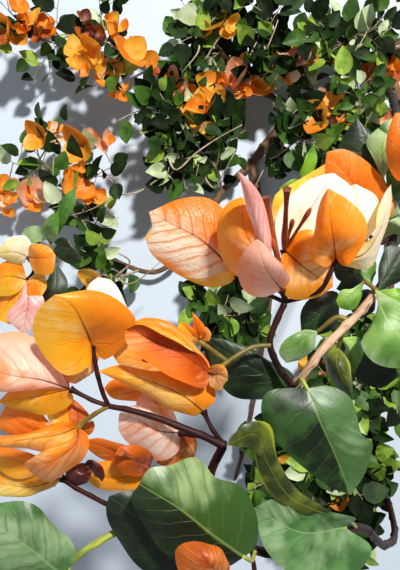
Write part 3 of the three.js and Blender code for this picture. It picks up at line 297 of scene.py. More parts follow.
def add_sheet(shape, rib, left, right, pucker, wave, seed, slot, rows=30, columns=20):
    """A leaf or bract stretched between its two margins over its rib, all from root to tip.

    Fields between the side veins are raised by pucker, and the margins ripple by wave.
    """
    t = (1 - np.cos(np.linspace(0, math.pi, rows + 1)[1:-1])) / 2
    s = np.linspace(-1, 1, columns + 1)
    middle = Line(rib).at(t)[:, None]
    left_edge = Line([rib[0], *left, rib[-1]]).at(t)[:, None]
    right_edge = Line([rib[0], *right, rib[-1]]).at(t)[:, None]
    share = s[None, :, None]
    corners = (
        middle + share * (left_edge - right_edge) / 2
        + share**2 * ((left_edge + right_edge) / 2 - middle)
    )
    normal = np.cross(np.gradient(corners, axis=0), np.gradient(corners, axis=1))
    normal /= np.linalg.norm(normal, axis=2, keepdims=True) + 1e-9
    width = np.linalg.norm(left_edge - right_edge, axis=2)
    width /= width.max()
    t, s = np.meshgrid(t, s, indexing="ij")
    aside = np.abs(s) * width
    fields = np.abs(np.sin(math.pi * LATERALS * (t - LATERAL_SLANT * aside))) ** FIELD_FULLNESS
    inner = np.clip(np.abs(s) * 5, 0, 1) * np.clip((1 - np.abs(s)) * 3, 0, 1)
    draw = seeded(seed)
    first, second = between(draw, *PHASES), between(draw, *PHASES)
    ripple = np.sin(RIPPLES * t + first + 2.2 * (s > 0))
    ripple = ripple + 0.6 * np.sin(FINE_RIPPLES * t + second + 1.3 * (s > 0))
    lift = (pucker * fields * inner + wave * ripple * np.abs(s) ** 3) * np.sin(math.pi * t)
    corners = (corners + lift[:, :, None] * normal).reshape(-1, 3)
    places = np.stack([s * width / 2 + 0.5, t], axis=2).reshape(-1, 2)
    add_pointed(shape, corners, places, [rib[0], rib[-1]], columns, slot)


# Outlines of a small blade: the share of the half width at a share of the length from root to tip
BRACT_OUTLINE = {"early": 0.42, "late": 0.72}
LEAF_OUTLINE = {"early": 0.55, "late": 0.95}


def half_width_share(outline, t):
    early, late = outline["early"], outline["late"]
    widest = early / (early + late)
    return t**early * (1 - t) ** late / (widest**early * (1 - widest) ** late)


def add_blade(shape, root, tip, width, outline, roll, cup, curl, face=UP, rows=6, columns=4):
    """A small blade. It faces up, or the way face gives, before it rolls about its length.

    cup is how far each side turns up from the rib, and curl how far the rib turns from end to end.
    """
    chord = np.linalg.norm(tip - root)
    axis = (tip - root) / chord
    side = turned(unit(np.cross(face, axis)), axis, roll)
    up = np.cross(axis, side)
    turn = math.radians(curl) or 1e-4
    bend = math.radians(cup) or 1e-4
    arc_radius = chord / (2 * math.sin(turn / 2))
    t = (1 - np.cos(np.linspace(0, math.pi, rows + 1)[1:-1])) / 2
    s = np.linspace(-1, 1, columns + 1)
    t, s = (values.ravel() for values in np.meshgrid(t, s, indexing="ij"))
    half = width / 2 * half_width_share(outline, t)
    phase = turn * (t - 0.5)
    along = chord / 2 + arc_radius * np.sin(phase)
    aside = half / bend * np.sin(bend * s)
    height = arc_radius * (np.cos(phase) - math.cos(turn / 2)) + half / bend * (1 - np.cos(bend * s))
    corners = root + np.outer(along, axis) + np.outer(aside, side) + np.outer(height, up)
    add_pointed(shape, corners, np.stack([s / 2 + 0.5, t], axis=1), [root, tip], columns, 0)


# Materials

def paint(code):
    """A colour written as it looks on a screen, as the shader's own numbers."""
    parts = [int(code[i:i + 2], 16) / 255 for i in (1, 3, 5)]
    linear = [c / 12.92 if c <= 0.04045 else ((c + 0.055) / 1.055) ** 2.4 for c in parts]
    return (*linear, 1.0)


class Graph:
    """A material's nodes, with short ways to add them."""

    def __init__(self, name):
        self.material = bpy.data.materials.new(name)
        self.material.use_nodes = True
        self.tree = self.material.node_tree
        self.shader = self.tree.nodes["Principled BSDF"]

    def feed(self, socket, value):
        if isinstance(value, bpy.types.NodeSocket):
            self.tree.links.new(value, socket)
        else:
            socket.default_value = value

    def node(self, kind, inputs=(), **settings):
        node = self.tree.nodes.new(kind)
        for name, value in settings.items():
            setattr(node, name, value)
        for key, value in dict(inputs).items():
            self.feed(node.inputs[key], value)
        return node

    def math(self, operation, a, b=0.0):
        return self.node("ShaderNodeMath", {0: a, 1: b}, operation=operation).outputs[0]

    def plus(self, a, b):
        return self.math("ADD", a, b)

    def minus(self, a, b):
        return self.math("SUBTRACT", a, b)

    def times(self, a, b):
        return self.math("MULTIPLY", a, b)

    def rest(self, share):
        """What a share leaves of one."""
        return self.math("SUBTRACT", 1.0, share)

    def band(self, value, low, high):
        """0 at low and 1 at high, smooth between."""
        inputs = {"Value": value, "From Min": low, "From Max": high}
        return self.node("ShaderNodeMapRange", inputs, interpolation_type="SMOOTHSTEP").outputs[0]

    def mix(self, share, a, b):
        node = self.node("ShaderNodeMix", data_type="RGBA")
        self.feed(node.inputs[0], share)
        self.feed(node.inputs[6], a)
        self.feed(node.inputs[7], b)
        return node.outputs[2]

    def noise(self, where, scale, detail=2.0):
        inputs = {"Vector": where, "Scale": scale, "Detail": detail}
        return self.node("ShaderNodeTexNoise", inputs).outputs[0]

    def stretched(self, where, scale):
        return self.node("ShaderNodeMapping", {"Vector": where, "Scale": scale}).outputs[0]

    def pattern(self):
        return self.node("ShaderNodeUVMap", uv_map=PATTERN).outputs["UV"]

    def in_space(self):
        return self.node("ShaderNodeTexCoord").outputs["Object"]

    def bump(self, height, depth_mm, strength=1.0):
        inputs = {"Height": height, "Distance": depth_mm * MM, "Strength": strength}
        return self.node("ShaderNodeBump", inputs).outputs[0]

    def finish(self, color, roughness, normal=None):
        self.feed(self.shader.inputs["Base Color"], color)
        self.feed(self.shader.inputs["Roughness"], roughness)
        if normal is not None:
            self.feed(self.shader.inputs["Normal"], normal)
        return self.material

    def let_light_through(self, color, share):
        """Mixes in light that comes through from behind."""
        behind = self.node("ShaderNodeBsdfTranslucent", {"Color": color})
        shades = {0: share, 1: self.shader.outputs[0], 2: behind.outputs[0]}
        mixed = self.node("ShaderNodeMixShader", shades)
        output = self.tree.nodes["Material Output"]
        self.tree.links.new(mixed.outputs[0], output.inputs["Surface"])


# Noise, in waves per metre of the part
BLOTCHES = 60.0
PALE_AND_HIGHLIGHT_PATCHES = 45.0
MOTTLES = 75.0
SHEEN_PATCHES = 30.0
BRACT_GRAIN = 700.0
LEAF_GRAIN = 500.0
# Veins, as shares: of the blade's length, of the gap between side veins, or of half the width
VEIN_WANDER = 0.09
SIDE_VEIN_WIDTH = 0.045
MIDRIB_AT_TIP = 0.01
MIDRIB_GROWTH = 0.03
# The net's cells across a blade, and the width of its lines as a share of a cell
NET_CELLS = 12.0
NET_WIDTH = 0.08


def vein_masks(graph):
    """Where a spot lies among a blade's veins.

    Gives the shares of the way out and along, the side from -1 at the right margin to 1 at the left,
    streaks that run with the side veins, how near the closest side vein is, and masks of the side
    veins, the midrib, the fine net between them and the blade's middle length.
    """
    pattern = graph.pattern()
    split = graph.node("ShaderNodeSeparateXYZ", {"Vector": pattern})
    along = split.outputs[1]
    side = graph.minus(graph.times(split.outputs[0], 2.0), 1.0)
    out = graph.math("ABSOLUTE", side)
    wander = graph.times(graph.noise(pattern, 4.0), VEIN_WANDER)
    phase = graph.minus(graph.plus(along, wander), graph.times(out, LATERAL_SLANT))
    phase = graph.times(phase, LATERALS)
    to_middle = graph.math("ABSOLUTE", graph.minus(graph.math("FRACT", phase), 0.5))
    from_vein = graph.minus(0.5, to_middle)
    mid_length = graph.times(graph.band(along, 0.04, 0.2), graph.band(along, 0.97, 0.8))
    inward = graph.times(graph.rest(graph.band(out, 0.4, 0.9)), mid_length)
    side_veins = graph.rest(graph.band(from_vein, 0.0, SIDE_VEIN_WIDTH))
    midrib_width = graph.plus(graph.times(graph.rest(along), MIDRIB_GROWTH), MIDRIB_AT_TIP)
    cells = graph.node(
        "ShaderNodeTexVoronoi",
        {"Vector": graph.stretched(pattern, (1.0, 1.7, 1.0)), "Scale": NET_CELLS},
        feature="DISTANCE_TO_EDGE",
    ).outputs["Distance"]
    with_veins = graph.node("ShaderNodeCombineXYZ", {
        0: graph.times(phase, 1.9),
        1: graph.times(side, 1.5),
        2: graph.times(graph.noise(graph.in_space(), 9.0, 1.0), 6.0),
    }).outputs[0]
    return {
        "out": out,
        "along": along,
        "side": side,
        "streaks": graph.noise(with_veins, 1.0, 2.0),
        "near_vein": graph.rest(graph.band(from_vein, 0.03, 0.2)),
        "laterals": graph.times(side_veins, inward),
        "midrib": graph.rest(graph.band(graph.math("DIVIDE", out, midrib_width), 0.5, 1.2)),
        "net": graph.times(graph.rest(graph.band(cells, 0.0, NET_WIDTH)), mid_length),
        "mid_length": mid_length,
    }


def vein_relief(graph, veins, grain):
    """Height of a blade's skin: sunk along its veins, with a fine grain."""
    sunk = graph.times(veins["laterals"], -0.6)
    sunk = graph.plus(sunk, graph.times(veins["net"], -0.08))
    ripples = graph.times(veins["streaks"], veins["mid_length"])
    sunk = graph.plus(sunk, graph.times(ripples, 0.8))
    return graph.plus(sunk, graph.times(graph.noise(graph.in_space(), grain), 0.3))


BRACT_RIB = "#5a230a"
BRACT_ROUGHNESS = 0.4
BRACT_BUMP = 0.7


def bract_material(
    name, base, rim, vein, pale, pale_and_highlight_share, veined=0.3, streaked=0.25, right=None, glow=0.35, depth_mm=0.35
):
    """Papery bract: its tint runs from base to rim, with pale fields between fine darker veins, partly its
    own paler patches and partly painted highlight.

    A bract of two tints takes the one named right beyond its midrib, and gets no pale fields there; on the
    red look that darker tint is painted shade.
    """
    graph = Graph(name)
    veins = vein_masks(graph)
    blotches = graph.minus(graph.noise(graph.in_space(), BLOTCHES, 3.0), 0.5)
    run = graph.plus(graph.times(veins["along"], 0.55), graph.times(veins["out"], 0.45))
    run = graph.plus(run, graph.times(blotches, 0.9))
    color = graph.mix(graph.band(run, 0.15, 0.8), paint(base), paint(rim))
    # Paler fields between the veins: partly the bract's own pale patches, partly painted highlight on the
    # ridges.
    patches = graph.times(graph.noise(graph.in_space(), PALE_AND_HIGHLIGHT_PATCHES, 4.0), 1.0 - streaked)
    fields = graph.plus(graph.times(veins["streaks"], streaked), patches)
    pale_and_highlight = graph.band(fields, 0.58 - 0.25 * pale_and_highlight_share, 0.74 - 0.22 * pale_and_highlight_share)
    pale_and_highlight = graph.times(pale_and_highlight, graph.rest(graph.band(veins["out"], 0.68, 0.98)))
    kept = graph.times(veins["near_vein"], min(1.0, veined * 1.5))
    pale_and_highlight = graph.times(pale_and_highlight, graph.rest(kept))
    # Beyond the midrib the tint named right; on the red look it is painted shade.
    if right:
        beyond = graph.band(graph.plus(veins["side"], blotches), 0.3, -0.45)
        color = graph.mix(beyond, color, paint(right))
        pale_and_highlight = graph.times(pale_and_highlight, graph.rest(beyond))
    color = graph.mix(pale_and_highlight, color, paint(pale))
    color = graph.mix(graph.times(veins["net"], 0.2 * veined), color, paint(vein))
    color = graph.mix(graph.times(veins["laterals"], veined), color, paint(vein))
    fade = graph.rest(graph.times(veins["along"], 0.75))
    color = graph.mix(graph.times(veins["midrib"], fade), color, paint(BRACT_RIB))
    relief = vein_relief(graph, veins, BRACT_GRAIN)
    graph.finish(color, BRACT_ROUGHNESS, graph.bump(relief, depth_mm, BRACT_BUMP))
    graph.let_light_through(color, glow)
    return graph.material


LEAF_ROUGHNESS = 0.36
LEAF_BUMP = 0.6
LEAF_DEPTH_MM = 0.35


def leaf_material(name, deep, fresh, vein, sheen, sheen_share, glow=0.12, left=None, right=None, rim=None):
    """Broad leaf: mottled green with paler veins, and patches of painted sheen, a whitish painted
    reflection.

    Painted light: a leaf lit on one side takes the tint named left or right on that side of its midrib, and
    only there the painted sheen; its greens elsewhere stand as painted shade. One with a bright rim takes
    that tint near its margins.
    """
    graph = Graph(name)
    veins = vein_masks(graph)
    mottle = graph.noise(graph.in_space(), MOTTLES, 4.0)
    color = graph.mix(graph.band(mottle, 0.38, 0.62), paint(deep), paint(fresh))
    # Painted sheen: patches of whitish painted reflection, only on the lit side when one is named.
    patches = graph.times(graph.noise(graph.in_space(), SHEEN_PATCHES, 4.0), 0.85)
    patches = graph.plus(patches, graph.times(veins["streaks"], 0.15))
    painted_sheen = graph.band(patches, 0.58 - 0.22 * sheen_share, 0.76 - 0.2 * sheen_share)
    painted_sheen = graph.times(painted_sheen, graph.rest(graph.times(veins["near_vein"], 0.4)))
    # Painted light and shade: the tint named left or right is the lit side, with a wavy border; the greens
    # beyond it are the shaded side.
    if left or right:
        wavy = graph.times(graph.minus(graph.noise(graph.pattern(), 3.0), 0.5), 0.6)
        border = graph.plus(veins["side"], wavy)
        lit = graph.band(border, -0.05, 0.05) if left else graph.band(border, 0.05, -0.05)
        color = graph.mix(lit, color, paint(left or right))
        painted_sheen = graph.times(painted_sheen, lit)
    color = graph.mix(graph.times(painted_sheen, 0.85), color, paint(sheen))
    if rim:
        color = graph.mix(graph.times(graph.band(veins["out"], 0.7, 0.97), 0.7), color, paint(rim))
    color = graph.mix(graph.times(veins["laterals"], 0.18), color, paint(vein))
    color = graph.mix(graph.times(veins["midrib"], 0.55), color, paint(vein))
    rough = graph.plus(LEAF_ROUGHNESS, graph.times(mottle, 0.14))
    relief = vein_relief(graph, veins, LEAF_GRAIN)
    graph.finish(color, rough, graph.bump(relief, LEAF_DEPTH_MM, LEAF_BUMP))
    graph.let_light_through(color, glow)
    return graph.material


BARK_PATCHES = 55.0
SHADE_BORDER = 8


def bark_material(name, dark, light, roughness, streaks, depth_mm, shaded=None, lit_above_mm=0, gloss=0.5):
    """Bark: streaks along the stem, patches round it and small pale pores.

    A long stem may be of a darker tint below a height, where it stays in the shade of its leaves.
    """
    graph = Graph(name)
    pattern = graph.pattern()
    streak = graph.noise(graph.stretched(pattern, (streaks, 0.9, 1.0)), 2.0, 4.0)
    patch = graph.noise(graph.in_space(), BARK_PATCHES, 3.0)
    blend = graph.times(graph.plus(streak, patch), 0.5)
    color = graph.mix(graph.band(blend, 0.36, 0.62), paint(dark), paint(light))
    pores = graph.node(
        "ShaderNodeTexVoronoi", {"Vector": graph.stretched(pattern, (4.0, 2.2, 1.0)), "Scale": 3.0}
    ).outputs["Distance"]
    pore = graph.rest(graph.band(pores, 0.08, 0.2))
    color = graph.mix(graph.times(pore, 0.35), color, paint(light))
    if shaded:
        up = graph.node("ShaderNodeSeparateXYZ", {"Vector": graph.in_space()}).outputs[2]
        lit = graph.band(up, (lit_above_mm - SHADE_BORDER) * MM, lit_above_mm * MM)
        color = graph.mix(lit, paint(shaded), color)
    height = graph.plus(streak, graph.times(pore, 0.4))
    graph.shader.inputs["Specular IOR Level"].default_value = gloss
    return graph.finish(color, roughness, graph.bump(height, depth_mm))


GROWTH_RINGS = 9.0


def cut_wood_material():
    """The cut face at the butt: growth rings round a darker pith, with bark at the rim."""
    graph = Graph("cut_wood")
    from_middle = graph.node(
        "ShaderNodeVectorMath", {0: graph.pattern(), 1: (0.5, 0.5, 0.0)}, operation="DISTANCE"
    ).outputs["Value"]
    wobble = graph.times(graph.noise(graph.pattern(), 4.0), 0.12)
    ring = graph.math("FRACT", graph.times(graph.plus(from_middle, wobble), GROWTH_RINGS))
    color = graph.mix(graph.band(ring, 0.1, 0.9), paint("#d9bf90"), paint("#b58f5a"))
    pith = graph.rest(graph.band(from_middle, 0.03, 0.08))
    color = graph.mix(pith, color, paint("#7c5a34"))
    color = graph.mix(graph.band(from_middle, 0.44, 0.48), color, paint("#4c3324"))
    return graph.finish(color, 0.75, graph.bump(ring, 0.15))


SPRAY_MOTTLES = 90.0
SPRAY_GRAIN = 420.0
SPRAY_DEPTH_MM = 0.15


def spray_material(name, dark, light, roughness, glow, gloss=0.5):
    """Mottled tints and a fine grain, for pieces joined from many small leaves or bracts."""
    graph = Graph(name)
    mottle = graph.noise(graph.in_space(), SPRAY_MOTTLES, 3.0)
    grain = graph.noise(graph.in_space(), SPRAY_GRAIN, 3.0)
    color = graph.mix(graph.band(mottle, 0.36, 0.64), paint(dark), paint(light))
    graph.finish(color, roughness, graph.bump(grain, SPRAY_DEPTH_MM))
    graph.shader.inputs["Specular IOR Level"].default_value = gloss
    graph.let_light_through(color, glow)
    return graph.material


def by_look(kind, make_material, rows):
    """The materials of a kind by the names of their looks, each row a name and what its maker asks."""
    return {look: make_material(kind + "_" + look, *values, **more) for look, *values, more in rows}


# Each bract's tints at its base, its rim, its veins and its pale fields (partly painted highlight), and how
# much of it is pale
BRACTS = by_look("bract", bract_material, [
    ["gold", "#f99c0e", "#febb28", "#c9690a", "#fdcf72", 0.5, {"veined": 0.25, "right": "#f68a1a"}],
    ["orange", "#f1800f", "#fba026", "#a84a0a", "#fcc684", 0.4, {}],
    ["ribbed", "#f0821a", "#f8962a", "#e07a1c", "#fdebd0", 1.2,
     {"veined": 0.35, "streaked": 0.35, "right": "#ee7a10", "depth_mm": 1.1}],
    ["blush", "#f28a2c", "#f9b48c", "#c8703c", "#fdcdb8", 0.8,
     {"veined": 0.15, "streaked": 0.1, "glow": 0.45}],
    ["rosy", "#ee8244", "#f5a070", "#ea8446", "#fbdccc", 0.9, {"streaked": 0.3, "glow": 0.45}],
    ["pink", "#e88e86", "#f4b4a8", "#9c3a38", "#fbd6ce", 0.7, {"glow": 0.45}],
    ["cream", "#fbcc58", "#fdea9c", "#e8b04a", "#fff4d2", 0.8, {"veined": 0.12, "streaked": 0.15}],
    ["white", "#fae0bc", "#fcefdc", "#ecc696", "#fffaf2", 1.2, {"veined": 0.12, "streaked": 0.1}],
    ["deep", "#dc5c0c", "#f28018", "#8c3206", "#f8aa60", 0.3, {"veined": 0.35}],
    # red: its right tint is painted shade on the half turned from the light
    ["red", "#bc4c08", "#e0701a", "#6a2204", "#f09a60", 0.2,
     {"veined": 0.35, "right": "#982e06", "glow": 0.25}],
    ["yellow", "#faa612", "#fdc936", "#c77a12", "#fde090", 0.5, {"veined": 0.25, "right": "#f4921a"}],
    ["rust", "#a8440c", "#d06818", "#5c2006", "#e89e62", 0.3, {"veined": 0.35}],
    ["maroon", "#3a0e0a", "#5c1a10", "#220604", "#8c3a24", 0.15, {"glow": 0.1}],
])
# Each leaf's two greens, its veins and its painted sheen highlight, and how much of it has that highlight
LEAVES = by_look("leaf", leaf_material, [
    # front: dark greens as painted shade on its lower side, its right tint the painted lit half
    ["front", "#0d1907", "#1a2d0d", "#7f9446", "#93a870", 0.45, {"right": "#2f4f18"}],
    # large: dark greens as painted shade, its left tint the painted lit part, its sheen a painted highlight
    ["large", "#0e1e0a", "#284818", "#6f8c44", "#7c9872", 0.6, {"glow": 0.08, "left": "#3e6030"}],
    ["grey", "#315628", "#4f7840", "#86a06a", "#8fa97e", 0.5, {"glow": 0.1}],
    ["pale", "#548232", "#7ca252", "#a2bc7a", "#b0c498", 0.7, {"glow": 0.25}],
    ["bright", "#4c7c18", "#7cac28", "#9cbc54", "#b0cc84", 0.3, {"glow": 0.25}],
    ["fresh", "#335f18", "#56822a", "#80a04e", "#9cb888", 0.3, {}],
    # dark: near-black greens, painted shade for leaves that lie in shadow
    ["dark", "#0c180a", "#1a2e12", "#37502a", "#3e5a34", 0.2, {}],
    ["olive", "#283310", "#5c681c", "#8c942c", "#7c8434", 0.3, {"rim": "#a8ac2e"}],
])
# Each bark's dark and light tints, its roughness, its streaks round the stem and its depth in mm
BARK = bark_material("bark_brown", "#3c281c", "#7c5c42", 0.85, 5.0, 0.5)
SHOOT_BARK = bark_material(
    "bark_shoot", "#543623", "#c7a283", 0.7, 5.0, 0.6, shaded="#22140d", lit_above_mm=330
)
TWIG = bark_material("twig_maroon", "#140505", "#34120e", 0.55, 3.0, 0.12, gloss=0.2)
OLIVE_TWIG = bark_material("twig_olive", "#4a3c12", "#7a6a26", 0.5, 3.0, 0.1)
GREEN_TWIG = bark_material("twig_green", "#6d7f28", "#a2a846", 0.45, 3.0, 0.08)
SPRAY_TWIG = bark_material("twig_spray", "#56432f", "#c8b49c", 0.6, 3.0, 0.1)
TUBE = bark_material("flower_tube", "#4a140c", "#b0521c", 0.5, 5.0, 0.12)
CUT_WOOD = cut_wood_material()


# Stems

COLLAR_SWELLING = 0.35
COLLAR_LENGTH = 5
ROUNDED_END = 0.75
KNOT_LENGTH = 2.2
KNOT_TURN = 2.4


def bark_relief(seed, ridges, rough, knot_step=0.0, knot_size=0.0):
    """Bumps of a stem: shallow ridges along it, low swellings and, where asked, a knot at every step."""
    draw = seeded(seed)
    phases = [between(draw, 0, 2 * math.pi) for _ in range(6)]

    def relief(distance, angles):
        drift = distance * 0.02
        bumps = rough * np.sin(ridges * angles + phases[0] + 2 * math.sin(drift + phases[1]))
        bumps += rough * 0.7 * np.sin((ridges + 3) * angles + phases[2] - 3 * math.sin(drift * 1.7))
        bumps += rough * 0.8 * math.sin(distance * 0.33 + phases[3]) * math.sin(distance * 0.13 + phases[4])
        if knot_step:
            knot = round(distance / knot_step)
            near = math.exp(-(((distance - knot * knot_step) / KNOT_LENGTH) ** 2))
            bumps += knot_size * near * (0.45 + 0.55 * np.cos(angles - knot * KNOT_TURN - phases[5]))
        return bumps

    return relief


def make_stem(name, points, root, tip, material, sides=14, step=2.5, cap_material=None, **knots):
    """A stem that tapers from its radius at the root, with a collar there and a rounded tip."""
    line = Line(placed(points))
    along = line.points(step)
    shares = np.linspace(0, 1, len(along))
    collar = 1 + COLLAR_SWELLING * np.exp(-shares * line.length / COLLAR_LENGTH)
    radii = (root + (tip - root) * shares) * collar
    radii[-1] *= ROUNDED_END
    relief = bark_relief(len(name), ridges=5, rough=0.035, **knots)
    shape = Shape()
    add_tube(shape, along, radii, sides, relief, cap_slot=1)
    shape.make(name + "_bark", [material, cap_material or material], [name])


make_stem(
    "main_stem",
    [[428, 28, 6.9], [385, 54, 6.6], [340, 82, 10], [289, 118, 8], [250, 165, 4.8]],
    root=7, tip=5, material=BARK, sides=24, step=2.0, cap_material=CUT_WOOD, knot_step=34, knot_size=0.3,
)
make_stem(
    "upper_bough",
    [[301, 109, 9], [262, 92, 18], [215, 70, 24], [178, 78, 14], [140, 62, 6], [105, 52, 2]],
    root=3.8, tip=1.6, material=BARK, knot_step=27, knot_size=0.35,
)
make_stem(
    "left_bough",
    [
        [252, 163, 6], [222, 192, 14], [195, 235, 20], [165, 268, 22], [147, 272, 20], [99, 249, 10],
        [78, 215, 3], [62, 190, 1.6],
    ],
    root=4, tip=1.6, material=BARK, knot_step=25, knot_size=0.35,
)
make_stem(
    "lower_bough",
    [[252, 163, 5], [262, 215, 14], [270, 290, 20], [262, 350, 14], [250, 420, 5], [235, 480, 2]],
    root=4, tip=1.8, material=BARK, knot_step=26, knot_size=0.35,
)
make_stem(
    "right_bough",
    [
        [386, 53, 7], [402, 120, 13], [396, 220, 18], [388, 320, 14], [378, 420, 6], [374, 500, 3],
        [378, 545, 2],
    ],
    root=4.6, tip=2, material=BARK, knot_step=30, knot_size=0.35,
)
make_stem(
    "arching_shoot",
    [
        [372, 62, 9], [393, 100, 120], [399, 165, 245], [394, 228, 298], [386, 276, 320], [357, 315, 334],
        [325, 347, 340], [295, 386, 342],
    ],
    root=3.6, tip=1.8, material=SHOOT_BARK, sides=16, step=1.2, knot_step=12, knot_size=0.4,
)
make_stem(
    "lower_shoot",
    [
        [376, 462, 4], [394, 525, 110], [384, 545, 215], [356, 528, 292], [310, 548, 322],
        [255, 550, 334], [215, 517, 340], [210, 476, 343], [224, 444, 346],
    ],
    root=3.2, tip=2, material=TWIG, sides=14, step=1.5, knot_step=24, knot_size=0.3,
)
make_stem(
    "left_shoot",
    [[80, 220, 4], [52, 228, 90], [36, 246, 180], [33, 264, 232]],
    root=2.2, tip=1.2, material=TWIG, knot_step=24, knot_size=0.3,
)
make_stem(
    "flower_stem_right",
    [[294, 387, 341], [281, 371, 342], [270, 345, 344], [276, 322, 345], [285, 303, 346]],
    root=1.5, tip=1.4, material=TWIG, sides=14, step=0.8, knot_step=9, knot_size=0.25,
)
make_stem(
    "flower_stem_left",
    [[225, 446, 346], [205, 437, 347], [157, 418, 348], [133, 411, 348], [108, 406, 347]],
    root=1.7, tip=1.2, material=TWIG, sides=14, step=0.8, knot_step=12, knot_size=0.25,
)
make_stem(
    "young_shoot",
    [[150, 521, 334], [119, 531, 341], [90, 547, 344], [66, 566, 342]],
    root=1.8, tip=1.5, material=GREEN_TWIG, sides=14, step=1.0, knot_step=13, knot_size=0.2,
)


# Blooms

STALK_RADIUS = 1.0
STALK_STEP = 0.8
STALK_SIDES = 12
BASE_SWELLING = 0.7
BASE_LENGTH = 1.6
# A flower tube's radius at shares of its length
OPEN_FLOWER = [(0, 0.8), (0.1, 1.3), (0.25, 1.5), (0.45, 1.05), (0.7, 0.9), (0.9, 1.1), (1.0, 1.7)]
CLOSED_FLOWER = [(0, 0.6), (0.15, 0.8), (0.4, 0.65), (0.65, 0.7), (0.84, 1.1), (0.95, 0.9), (1.0, 0.3)]

FLOWER_RINGS = 16
FLOWER_SIDES = 15
FLOWER_RIBS = 5
FLOWER_RIB_SHARE = 0.12
FLOWER_SAG = 0.9


def add_flower(shape, root, tip, profile, slot):
    """A five-ribbed flower tube whose radius follows the profile from root to tip."""
    shares = np.linspace(0, 1, FLOWER_RINGS)
    radii = np.interp(shares, [share for share, _ in profile], [radius for _, radius in profile])
    sag = np.cross(unit(tip - root), [0.3, 0.5, 0.8])
    points = root + np.outer(shares, tip - root) + np.outer(np.sin(math.pi * shares) * FLOWER_SAG, sag)

    def ribs(distance, angles):
        return FLOWER_RIB_SHARE * np.cos(FLOWER_RIBS * angles)

    add_tube(shape, points, radii, FLOWER_SIDES, ribs, slot)


def sheet(look, rib, left, right, **more):
    """A bract or leaf: its look, and its rib and two margins past its root, each to its tip."""
    return {"look": look, "rib": placed(rib), "left": placed(left), "right": placed(right), **more}


def make_bloom(name, stalk, bracts, flowers=(), buds=(), stem=TWIG, pucker=0.5):
    """A bloom: a stalk, the bracts that start at its end, and open flowers and buds by their tips."""
    shape = Shape()
    looks = list(BRACTS)
    line = Line(placed(stalk))
    along = line.points(STALK_STEP)
    shares = np.linspace(0, 1, len(along))
    from_end = (1 - shares) * line.length
    radii = STALK_RADIUS * (1 + BASE_SWELLING * np.exp(-((from_end / BASE_LENGTH) ** 2)))
    relief = bark_relief(len(name), ridges=4, rough=0.03, knot_step=8, knot_size=0.25)
    add_tube(shape, along, radii, STALK_SIDES, relief)
    base = along[-1]
    for number, bract in enumerate(bracts):
        add_sheet(
            shape, [base, *bract["rib"]], bract["left"], bract["right"],
            pucker=bract.get("pucker", pucker), wave=0.5, seed=31 * len(name) + number,
            slot=2 + looks.index(bract["look"]),
        )
    for tip in placed(flowers):
        add_flower(shape, base, tip, OPEN_FLOWER, 1)
    for tip in placed(buds):
        add_flower(shape, base, tip, CLOSED_FLOWER, 1)
    shape.make(name + "_bracts", [stem, TUBE, *BRACTS.values()], [name])


# Where the stalks of the upper group and of the left group part from their stems
UPPER_FORK = [285, 302, 346]
LEFT_FORK = [109, 406, 347]

# Upper right group
make_bloom(
    "bloom_upper_left",
    [UPPER_FORK, [265, 293, 342], [246, 279, 341], [230, 266, 341]],
    [
        sheet(
            "ribbed", [[200, 239, 351], [174, 225, 352], [149, 212, 352]],
            [[217, 275, 341], [188, 277, 343], [162, 264, 345], [147, 246, 347], [152, 227, 350]],
            [[234, 228, 346], [212, 200, 347], [180, 199, 350]], pucker=0.9,
        ),
        sheet(
            "gold", [[190, 258, 336], [145, 238, 334]],
            [[234, 280, 336], [212, 287, 334], [182, 277, 334], [156, 258, 334]],
            [[218, 232, 336], [190, 218, 334], [158, 222, 334]],
        ),
        sheet(
            "deep", [[240, 235, 336], [250, 206, 332]], [[224, 242, 334], [232, 214, 332]],
            [[252, 250, 334], [258, 225, 332]],
        ),
    ],
)
make_bloom(
    "bloom_upper_middle", [UPPER_FORK, [283, 295, 350], [282, 290, 352]],
    [
        sheet(
            "orange", [[262, 262, 364], [245, 230, 370], [241, 197, 366]],
            [[260, 282, 354], [236, 275, 354], [219, 252, 356], [217, 224, 360], [228, 203, 364]],
            [[270, 255, 358], [262, 225, 364], [253, 203, 366]], pucker=0.9,
        ),
        sheet(
            "pink",
            [[268, 262, 364], [255, 224, 374], [246, 192, 382], [238, 171, 386]],
            [[264, 264, 356], [251, 222, 362], [243, 190, 374]],
            [[274, 262, 362], [269, 232, 370], [263, 200, 378], [251, 182, 384]],
        ),
        sheet(
            "blush", [[264, 264, 378], [257, 239, 382]],
            [[264, 297, 358], [243, 289, 366], [237, 267, 372], [247, 248, 380]],
            [[290, 280, 358], [284, 268, 366], [272, 254, 376], [264, 244, 381]],
            pucker=0.3,
        ),
    ],
    flowers=[[266, 197, 372]], buds=[[272, 238, 366]],
)
make_bloom(
    "bloom_upper_centre",
    [UPPER_FORK, [286, 285, 346], [284, 266, 347], [284, 250, 348]],
    [
        sheet(
            "white", [[302, 222, 348], [334, 173, 352]],
            [[275, 226, 344], [284, 202, 344], [305, 182, 346], [322, 175, 350]],
            [[314, 252, 350], [345, 226, 352], [353, 190, 353]],
        ),
        sheet(
            "yellow", [[292, 215, 334], [327, 163, 322]],
            [[273, 216, 328], [275, 194, 326], [300, 179, 324]], [[320, 222, 334], [345, 185, 326]],
        ),
        sheet(
            "orange", [[305, 268, 356], [333, 287, 350]],
            [[298, 232, 352], [317, 232, 354], [331, 260, 353]],
            [[279, 268, 352], [288, 297, 350], [318, 297, 349]],
        ),
    ],
    flowers=[[287, 189, 378]], buds=[[311, 208, 366], [293, 219, 360]],
)
